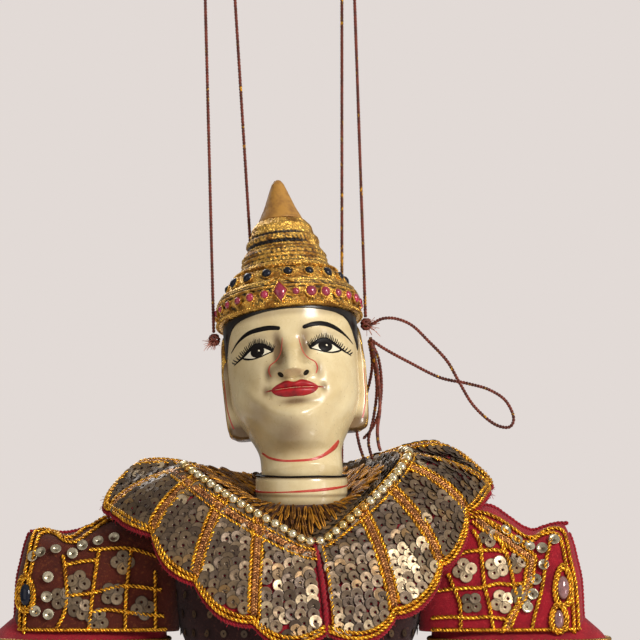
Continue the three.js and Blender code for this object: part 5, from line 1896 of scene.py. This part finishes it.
def wing_cabochons(side):
    rows = np.array(TEARDROPS[side])
    place, out, down = wing(side, rows[:, 0], rows[:, 1] - 0.6, 0.7)
    return sew("wing_cabochons_" + side, SHAPES["cabochon"], place, out, down,
               CLEAR if side == "right" else NIGHT,
               size=[1.0, 0.8][:len(rows)], jitter=0.04)


def wing_piping(side):
    x = np.linspace(58, 113.6, 150)
    ridge = np.stack([SIDES[side] * x, 0 * x, through(RIDGES[side], x)[0] + 0.2], -1)
    z = np.linspace(-24.5, WING_FOOT, 66)
    edge = np.stack([SIDES[side] * (down_table(WING_OUTER, z) + 0.1), 0 * z, z], -1)
    lines = [(ridge, (0, -1, 0.6)), (edge, (0.2 * SIDES[side], -1, 0))]
    return ply("wing_piping_" + side, lines, RED, 0.42, 0.62, 3.2)


def wing_foot_cord(side):
    x = np.linspace(56, 117.5, 160)
    return ply("wing_foot_cord_" + side, [wing(side, x, WING_FOOT + 1.0, 0.6)[:2]], GOLD, 0.5, 0.5, 2.8)


def wing_braid(side):
    return ply("wing_braid_" + side, [wing_line(side, BORDER, 0.6)], COPPER, 1.0, 0.46, 3.4, strands=3,
               flat=1.0)


for side in SIDES:
    on_arm(wing_cords(side), side, "gold_thread")
    if side == "right":
        on_arm(wing_braid(side), side, "gold_thread")
    for flowers in (wing_flowers(side, bright) for bright in (False, True)):
        if flowers:
            on_arm(flowers, side, "sequin_cloth")
    for trimming, slot in ((wing_spangles, "sequin_cloth"), (wing_cabochons, "gilt"),
                           (wing_piping, "red_cloth"),
                           (wing_foot_cord, "gold_thread")):
        on_arm(trimming(side), side, slot)

# %% [markdown]
# ## Sleeves
# Under each hood hangs a wide sleeve of red cotton. Its top is drawn in beneath the hood and swells
# out below it, in folds that deepen towards the hem. Spangles are dotted over it, and a beaded
# trim ends it. Only its top edge shows in the picture, so the rest follows the way such sleeves
# are made.


# %% Sleeve surface and cloth
SLEEVE_RINGS = [
    (50, 58, 114, 14), (57, 57, 117.4, 14.6), (62, 56.5, 123, 15.6), (66.5, 56, 128, 18.5),
    (71, 55.8, 131, 24),
    (80, 56.5, 130, 24),
    (96, 56, 131, 25), (108, 55.6, 133, 27)]  # depth below the seam, inner x, outer x, half depth


def sleeve(side, turn, z, out=0.0):
    x1, x2, depth = through(SLEEVE_RINGS, -np.asarray(z, float))
    fold = 0.9 * np.sin(17 * turn + 0.6 * np.sin(3 * turn)) * smooth(-66, -104, z)
    deep = depth + out + fold
    x, y = oval(turn, (x2 - x1) / 2 + out + fold, deep, deep, 2.6)
    return grid(SIDES[side] * ((x1 + x2) / 2 + x), y, z)


def sleeve_cloth(side):
    t, z = around(240)[:, None], np.linspace(-50, -108, 36)[None]
    return new_piece("sleeve_cloth_" + side,
                     *skin(sleeve(side, t, z), sleeve(side, t, z, -1.5), closed=True), RED)


def from_sleeve(side, points, z):
    """Outwards from the middle of the sleeve."""
    return unit(points - [SIDES[side] * 94, 0, z])


def sleeve_ring(side, z, lift):
    line = sleeve(side, np.linspace(0, 2 * math.pi, 420), z, lift)
    return line, from_sleeve(side, line, z)


def sleeve_dots(side):
    row, place = np.meshgrid(np.arange(4), np.arange(22), indexing="ij")
    t, z = ((place + 0.5 * (row % 2)) * 2 * math.pi / 22).ravel(), (-76 - 6.0 * row).ravel()
    place = sleeve(side, t, z, 0.5)
    out = unit(np.cross(sleeve(side, t + 0.02, z) - sleeve(side, t - 0.02, z),
                        sleeve(side, t, z + 1) - sleeve(side, t, z - 1)))
    out = out * np.sign((out * (place - [SIDES[side] * 94, 0, 0]) * (1, 1, 0)).sum(-1, keepdims=True))
    return sew("sleeve_spangles_" + side, SHAPES["sequin"], place, out, (0, 0, 1) + 0 * out, SILVER,
               size=0.62, jitter=0.1)


def sleeve_beads(side, z):
    place = sleeve(side, around(104), z, 1.0)
    return sew("sleeve_beads_" + side, SHAPES["bead"], place, from_sleeve(side, place, z),
               (0, 0, 1) + 0 * place,
               BRASS, size=0.5, jitter=0.2)


sleeve_sheets = {}
for side in SIDES:
    sleeve_sheets[side] = on_arm(sleeve_cloth(side), side, "red_cloth", "sleeve_" + side)
    rings = [sleeve_ring(side, z, 0.5) for z in (-71.4, -101.5, -106.8)]
    on_arm(ply("sleeve_cords_" + side, rings, GOLD, 0.42, 0.42, 2.4), side, "gold_thread")
    braid = ply("sleeve_braid_" + side, [sleeve_ring(side, -104.1, 0.5)], COPPER, 1.5, 0.36, 4.0, strands=5,
                flat=1.0)
    on_arm(braid, side, "gold_thread")
    on_arm(sleeve_dots(side), side, "sequin_cloth")
    on_arm(sleeve_beads(side, -69.2), side, "gold_thread")

# %% [markdown]
# ## Jacket, belt and sash
# The trunk is two plain wooden blocks under a dark fitted jacket. A broad belt of braid holds the
# waist, with a knotted sash in front. All of it follows the blocks' squared ovals, a little larger.
# None of this shows below the collar in the picture, so it is plain and in the same materials.


# %% Cloth round the blocks
# rows of depth below the seam, half width, front and back
PELVIS_RINGS = [(112.3, 33, 21, 21), (130, 34, 21, 22), (143, 33, 19, 21), (147, 28, 14, 16)]
JACKET_RINGS = [(29, 52, 21.5, 22.5), (34, 54, 22, 23), (46, 52, 23, 23), (58, 50, 23, 23),
                (70, 45.6, 23, 22.4),
                (84, 39.4, 22.6, 21.6), (112, 33, 21, 21)]


def around_block(rings, turn, z, out):
    half, front, back = through(rings, -np.asarray(z, float))
    return grid(*oval(turn, half + out, front + out, back + out, 2.3), z)


def wrapped(name, rings, top, foot, thick, finish, folds=0.0):
    t, z = around(160)[:, None], np.linspace(top, foot, 22)[None]
    fold = folds * np.sin(9 * t + 0.05 * z) * smooth(top, foot, z)
    skins = skin(around_block(rings, t, z, thick + fold), around_block(rings, t, z, 0.8 + fold),
                 closed=True)
    return new_piece(name, *skins, finish)


def block_ring(rings, z, out):
    t = np.linspace(0, 2 * math.pi, 320)
    line = around_block(rings, t, np.full_like(t, z), out)
    return line, unit(line * (1, 1, 0))


def front_line(turn):
    z = np.linspace(-34, -110, 120)
    return around_block(JACKET_RINGS, np.full_like(z, turn), z, 3.1), (0, -1, 0)


def on_block(name, shape, rings, turn, z, out, finish, **more):
    """Spangles or stones that stand out of the jacket or belt."""
    place = around_block(rings, turn, z, out)
    made = sew(name, SHAPES[shape], place, unit(place * (1, 1.6, 0)), (0, 0, 1) + 0 * place, finish, **more)
    return settle(made, "trunk")


BUTTONING = 0.0375  # turn of the two cords beside the jacket's front edge
jacket_sheet = settle(wrapped("jacket_cloth", JACKET_RINGS, -29, -111, 2.4, DARK, 0.5), "trunk",
                      ["jacket_body"])
trim("jacket_cords", [front_line(BUTTONING), front_line(-BUTTONING), block_ring(JACKET_RINGS, -109, 3.0)],
     GOLD, 0.38, 0.38, 2.3)
z, k = np.meshgrid(np.arange(-34, -106, -8.0), np.arange(30), indexing="ij")
turn = (k + 0.5 * (np.round(z / 8) % 2)) * 2 * math.pi / 30
on_block("jacket_spangles", "sequin", JACKET_RINGS, turn.ravel(), z.ravel(), 2.9, SEQUIN, size=0.6,
         jitter=0.12, seed=14)
belt_sheet = settle(wrapped("belt_braid", PELVIS_RINGS, -116, -130, 3.0, COPPER), "trunk", ["belt"])
trim("belt_cords", [block_ring(PELVIS_RINGS, z, 3.3) for z in (-116.8, -119.4, -126.6, -129.2)], GOLD, 0.42,
     0.42, 2.4)
on_block("belt_stones", "dome", PELVIS_RINGS, around(22), np.full(22, -123.0), 3.3, RUBY, size=2.1)


def sash_knot():
    t, v = around(90)[:, None], np.linspace(-1.5, 1.5, 46)[None]
    pleat = 1 + 0.07 * np.sin(11 * v + 2 * np.sin(t)) + 0.1 * np.sin(3 * t + 1)
    points = grid(10.6 * np.sin(v) * pleat, -29 - 4 * np.cos(v) * np.cos(t) * pleat,
                  -128 + 7.6 * np.cos(v) * np.sin(t) * pleat)
    return new_piece("sash_folds", *lofted(points.transpose(1, 0, 2)), RED)


settle(sash_knot(), "trunk", ["sash_knot"])

# %% [markdown]
# ## Hanging panels
# From the belt hang a tail behind and a stiff flared wing over each hip, cut from the same red
# cotton as the collar, edged with gold cord and sewn with sequins in rows.


# %% Panels
def hip_wing(side, u, v):
    x = 38.4 + 17 * v * np.sqrt(np.abs(v)) + 2 * np.sin(math.pi * u)
    return grid(SIDES[side] * x, (-20 + 43 * u) * (1 + 0.25 * v),
                -134 - 78 * v - 6 * np.sin(math.pi * u) * v)


def tail(u, v):
    x = (-26 + 52 * u) * (1 + 0.15 * v)
    fold = 1.4 * np.cos(u * 6 * math.pi) * v
    return grid(x, 27 + 3 * v + fold - 3 * (2 * u - 1) ** 2, -134 - 94 * v)


def panel(name, surface, outward, replaced, size):
    """A stiff hanging panel with its cords and sequins, as three pieces."""
    def out_at(a, b):
        way = normals_of(surface, a, b)
        return way * np.sign((way * outward).sum(-1, keepdims=True))

    def line(a, b, lift=0.7):
        return surface(a, b) + out_at(a, b) * lift, out_at(a, b)
    u, v = np.linspace(0, 1, 60)[:, None], np.linspace(0, 1, 50)[None]
    top, up = surface(u, v), out_at(u, v)
    cloth_piece = settle(new_piece(name + "_cloth", *skin(top + up * 0.1, top - up * 1.5), RED), "trunk",
                         [replaced])
    t = np.linspace(0.02, 0.98, 120)
    edges = [line(a, t) for a in (0.035, 0.1, 0.9, 0.965)] + [line(t, b) for b in (0.97, 0.93)]
    trim(name + "_cords", edges, GOLD, 0.42, 0.42, 2.4)
    rows, columns = size
    a, b = np.meshgrid(np.linspace(0.16, 0.84, columns), np.linspace(0.06, 0.88, rows), indexing="ij")
    a, b = a.ravel(), b.ravel()
    sequins = sew(name + "_sequins", SHAPES["sequin"], *line(a, b, 0.8),
                  surface(a, b + 0.01) - surface(a, b), SEQUIN,
                  size=0.9, lean=0.14, jitter=0.09, seed=17)
    settle(sequins, "trunk")
    return cloth_piece


panel_sheets = {"tail": panel("tail", tail, (0, 1, 0), "tail_panel", (20, 11))}
for side in SIDES:
    panel_sheets[side] = panel("hip_" + side, lambda u, v, side=side: hip_wing(side, u, v),
                               (SIDES[side], 0, 0),
                               "hip_wing_" + side, (16, 9))

# %% [markdown]
# ## Arms and legs
# The limbs are turned rods with round ends, tied at the joints so that they swing from the strings.
# The hands and feet are carved and enamelled like the face. Cuffs and trousers are tubes of cotton
# that hide the rods, gathered in folds and edged with gold.


# %% Turned limbs and tubes
SHOULDER, ELBOW = (69, -40, 9), (69, -120, 6.5)  # x outwards, z, ball radius
HIP, KNEE = (19, -158, 9.5), (19, -244, 7.5)


def aside(x):
    return lambda points: np.asarray(points, float) + [x, 0, 0]


def limb(name, x, z, ball, rows, body, node):
    cap = [(ball * math.cos(a), z - ball * math.sin(a)) for a in np.radians(np.linspace(-88, 0, 16))]
    profile = cap + [(r, h) for h, r in rows] + [(0.1, rows[-1][0])]
    piece = turned_piece(name, profile, WOOD, columns=40, place=aside(x), soften=1, step=1.1)
    return settle(piece, body, [node])


def tube(name, x, rows, finish, folds=0.5):
    """A cloth tube with gathered folds, from rows of (height, radius)."""
    t, z = around(135)[:, None], np.linspace(rows[0][0], rows[-1][0], 26)[None]
    fold = folds * np.sin(15 * t + 1.2 * np.sin(2 * t + 0.08 * z)) - folds
    r = down_table(rows, z) + fold
    skins = [grid(x + (r - w) * np.sin(t), -(r - w) * np.cos(t), z) for w in (0, 1.2)]
    return new_piece(name, *skin(*skins, closed=True), finish)


def dressed(name, x, rows, finish, body, node, slot, heights, **folds):
    """A tube with gold cords round it at its heights."""
    made = settle(tube(name, x, rows, finish, **folds), body, [node])
    t = np.linspace(0, 2 * math.pi, 160)
    ring = grid(np.sin(t), -np.cos(t), 0 * t)
    rings = [(ring * (down_table(rows, z) + 0.2) + [x, 0, z], ring) for z in heights]
    trim(name + "_cords", rings, GOLD, 0.4, 0.4, 2.3, body)
    return made


# %% Hands and feet
def rod(points, radii):
    """Rings round a short path, rounded at its far end."""
    route = smooth_route(points, 16)
    r = np.interp(np.linspace(0, 1, len(route)), np.linspace(0, 1, len(radii)), radii)
    r = r * np.sqrt(np.clip((1 - np.linspace(0, 1, len(route))) / 0.12, 0.02, 1))
    ahead = unit(np.gradient(route, axis=0))
    side = unit(np.cross(ahead, [0, 1, 0.01]))
    up = np.cross(side, ahead)
    c, s = (wave(around(18))[None, :, None] for wave in (np.cos, np.sin))
    return route[:, None] + r[:, None, None] * (c * side[:, None] + s * up[:, None])


def hand_piece(name, x, side):
    palm_rows = [(190.3, 4.4, 3), (198, 6.4, 3.2), (210, 8.0, 3.5), (220, 7.7, 3.0), (226, 7.2, 2.4)]
    depth = np.linspace(190.3, 226, 40)[:, None]
    half, deep = through(palm_rows, depth)
    across, forward = oval(around(48)[None], half, deep, deep)
    rings = [grid(x + across, forward, -depth)]
    for dx, end in ((-5.5, -238.5), (-1.9, -243), (1.8, -242), (5.3, -237)):
        finger = [(x + dx * 0.9, 0, -220), (x + dx, -0.8, -228), (x + dx * 1.02, -0.2, end)]
        rings.append(rod(finger, (2.0, 1.9, 1.6)))
    thumb = [(x - side * 5.4, -0.6, -205), (x - side * 8.4, -2.4, -213), (x - side * 8.2, -3.2, -223)]
    rings.append(rod(thumb, (2.4, 2.1, 1.7)))
    return joined(name, [new_piece(f"{name}_{k}", *lofted(ring), FACE) for k, ring in enumerate(rings)])


def foot_piece(name, x):
    rows = [(322.3, 6, 8, 7.5), (325, 6.6, 13, 8.6), (328, 7.4, 24, 10), (331, 8.3, 31, 10.8),
            (333.5, 8.8, 34.6, 11),
            (335.3, 8.6, 34.6, 10.8), (336, 8, 34, 10)]
    depth = np.linspace(322.3, 336, 36)[:, None]
    dx, y = oval(around(120)[None], *through(rows, depth), 2.4)
    toes = sum(bump(dx - at, 0.5) for at in (-4.6, -1.6, 1.4, 4.4)) * smooth(-24, -31, y) * 1.6
    return new_piece(name, *lofted(grid(x + dx, y + toes, -depth)), FACE)


# %% Dressed limbs
CUFF = [(-164, 10.5), (-170, 9.4), (-180, 10.4), (-187, 13)]
THIGH_CLOTH = [(-166, 13.5), (-185, 15.5), (-210, 15), (-230, 15.6)]
SHIN_CLOTH = [(-254, 12.8), (-270, 14.4), (-296, 15), (-316, 17)]
RODS = (  # CAD node, body, joint at its top, rows of height and radius
    ("upper_arm", "arm", SHOULDER, [(-60, 8.4), (-90, 7.4), (-110.5, 6.8), (-112.4, 5.2)]),
    ("forearm", "lower_arm", ELBOW, [(-140, 6.4), (-170, 5.6), (-190, 4.6)]),
    ("thigh", "leg", HIP, [(-180, 9.4), (-215, 8), (-236, 7.4)]),
    ("shin", "lower_leg", KNEE, [(-265, 7.4), (-300, 6), (-322, 5.4)]))
TUBES = (  # piece, CAD node, body, joint it hangs below, rows, finish, slot, heights of its cords
    ("cuff_cloth", "cuff", "lower_arm", ELBOW, CUFF, COPPER, "gilt", (-165, -168.5, -183, -186.4)),
    ("trouser_thigh", "trouser_upper", "leg", HIP, THIGH_CLOTH, RED, "red_cloth", (-225, -229)),
    ("trouser_shin", "trouser_lower", "lower_leg", KNEE, SHIN_CLOTH, RED, "red_cloth", (-309, -312, -315)))
tube_sheets = {}
for side, k in SIDES.items():
    for node, body, (x, z, ball), rows in RODS:
        limb(f"{node}_rod_{side}", k * x, z, ball, rows, f"{body}_{side}", f"{node}_{side}")
    for title, node, body, (x, *_), rows, finish, slot, heights in TUBES:
        folds = 0.1 if node == "cuff" else 0.5
        tube_sheets[title, side] = dressed(f"{title}_{side}", k * x, rows, finish, f"{body}_{side}",
                                           f"{node}_{side}",
                                           slot, heights, folds=folds)
    settle(hand_piece("hand_carved_" + side, k * ELBOW[0], k), "lower_arm_" + side, ["hand_" + side])
    settle(foot_piece("foot_carved_" + side, k * KNEE[0]), "lower_leg_" + side, ["foot_" + side])

# %% [markdown]
# ## Control bar
# The puppeteer holds a turned wooden bar by its gourd-shaped handle. Each string is wound round the
# bar and tied. The strings at the back end in brass eyes on the collar.


# %% Bar, handle, ties and eyes
BAR_AXIS_Z = -65.4  # below the handle's top, in the frame's own millimetres


def in_frame(points):
    return np.asarray(points, float) - PUPPET


def along_bar(points):
    x, y, z = np.moveaxis(points, -1, 0)
    return grid(z, y, -x + BAR_AXIS_Z) - PUPPET


BAR = [(0.1, -75), (5.2, -75), (6.6, -72.6), (5.2, -70), (8, -67), (8, 67), (5.2, 70), (6.6, 72.6),
       (5.2, 75), (0.1, 75)]
HANDLE = [(0.1, -62), (8.6, -62), (9.4, -55.4), (7, -51.4), (7.4, -47.4), (11.5, -37.4), (12.4, -27.4),
          (9.6, -17.4),
          (6.4, -11.4), (7, -7.4), (9.4, -4.4), (9.4, 0), (0.1, 0)]
settle(turned_piece("bar_wood", BAR, WOOD, columns=48, place=along_bar, step=0.8), "control",
       ["control_bar"])
settle(turned_piece("handle_wood", HANDLE, WOOD, columns=64, place=in_frame, soften=1, step=0.8), "control",
       ["control_handle"])


def tie(top):
    """Three turns of string round the bar."""
    a = np.linspace(0, 3 * 2 * math.pi, 240)
    ring = grid(0, np.cos(a), np.sin(a))
    middle = grid(PUPPET[0] + top + np.linspace(-1.5, 1.5, 240), 0, BAR_AXIS_Z)
    return ring * 8.75 + middle - PUPPET, ring


def eye_ring(side):
    a = np.linspace(0, 2 * math.pi, 60)
    ring = grid(np.cos(a), 0, np.sin(a))
    return [(eye_centre(side) + ring * EYE_R, (0, 1, 0))]


for name, top in STRING_TOPS.items():
    settle(ply("tie_thread_" + name, [tie(top)], STRING, 0.34, 0.36, 3.0), "control", ["tie_" + name])
for side in SIDES:
    settle(ply("eye_wire_" + side, eye_ring(side), BRASS, 0.0, 0.7, 1.6, strands=1), "trunk",
           ["back_eye_" + side])
for node in ("chest_block", "pelvis_block", "shoulder_peg_left", "shoulder_peg_right"):
    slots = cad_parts[node].data.materials
    for k in range(len(slots)):
        slots[k] = WOOD

# %% [markdown]
# ## Cloth as it was cut
# Each cloth piece is listed with the flat size it was cut to, how it is held and what it rests on.

# %% Flat sizes
CUT_SIZES = [  # piece, width and length in metres, how it is held, what it rests on
    (collar_sheet, 0.42, 0.04, "stretched", "chest_block"),
    (yoke_sheet, 0.19, 0.022, "stretched", "chest_block"),
    (jacket_sheet, 0.24, 0.082, "stretched", "chest_block"),
    (belt_sheet, 0.18, 0.014, "stretched", "pelvis_block"),
    (panel_sheets["tail"], 0.056, 0.094, "hung", "pelvis_block")]
for side in SIDES:
    CUT_SIZES += [(wing_sheets[side], 0.18, 0.048, "stretched", "upper_arm_" + side),
                  (sleeve_sheets[side], 0.22, 0.06, "gathered", "upper_arm_" + side),
                  (panel_sheets[side], 0.05, 0.08, "hung", "pelvis_block"),
                  (tube_sheets["cuff_cloth", side], 0.066, 0.023, "stretched", "forearm_" + side),
                  (tube_sheets["trouser_thigh", side], 0.1, 0.064, "gathered", "thigh_" + side),
                  (tube_sheets["trouser_shin", side], 0.1, 0.062, "gathered", "shin_" + side)]
print("sheets:", len(CUT_SIZES))
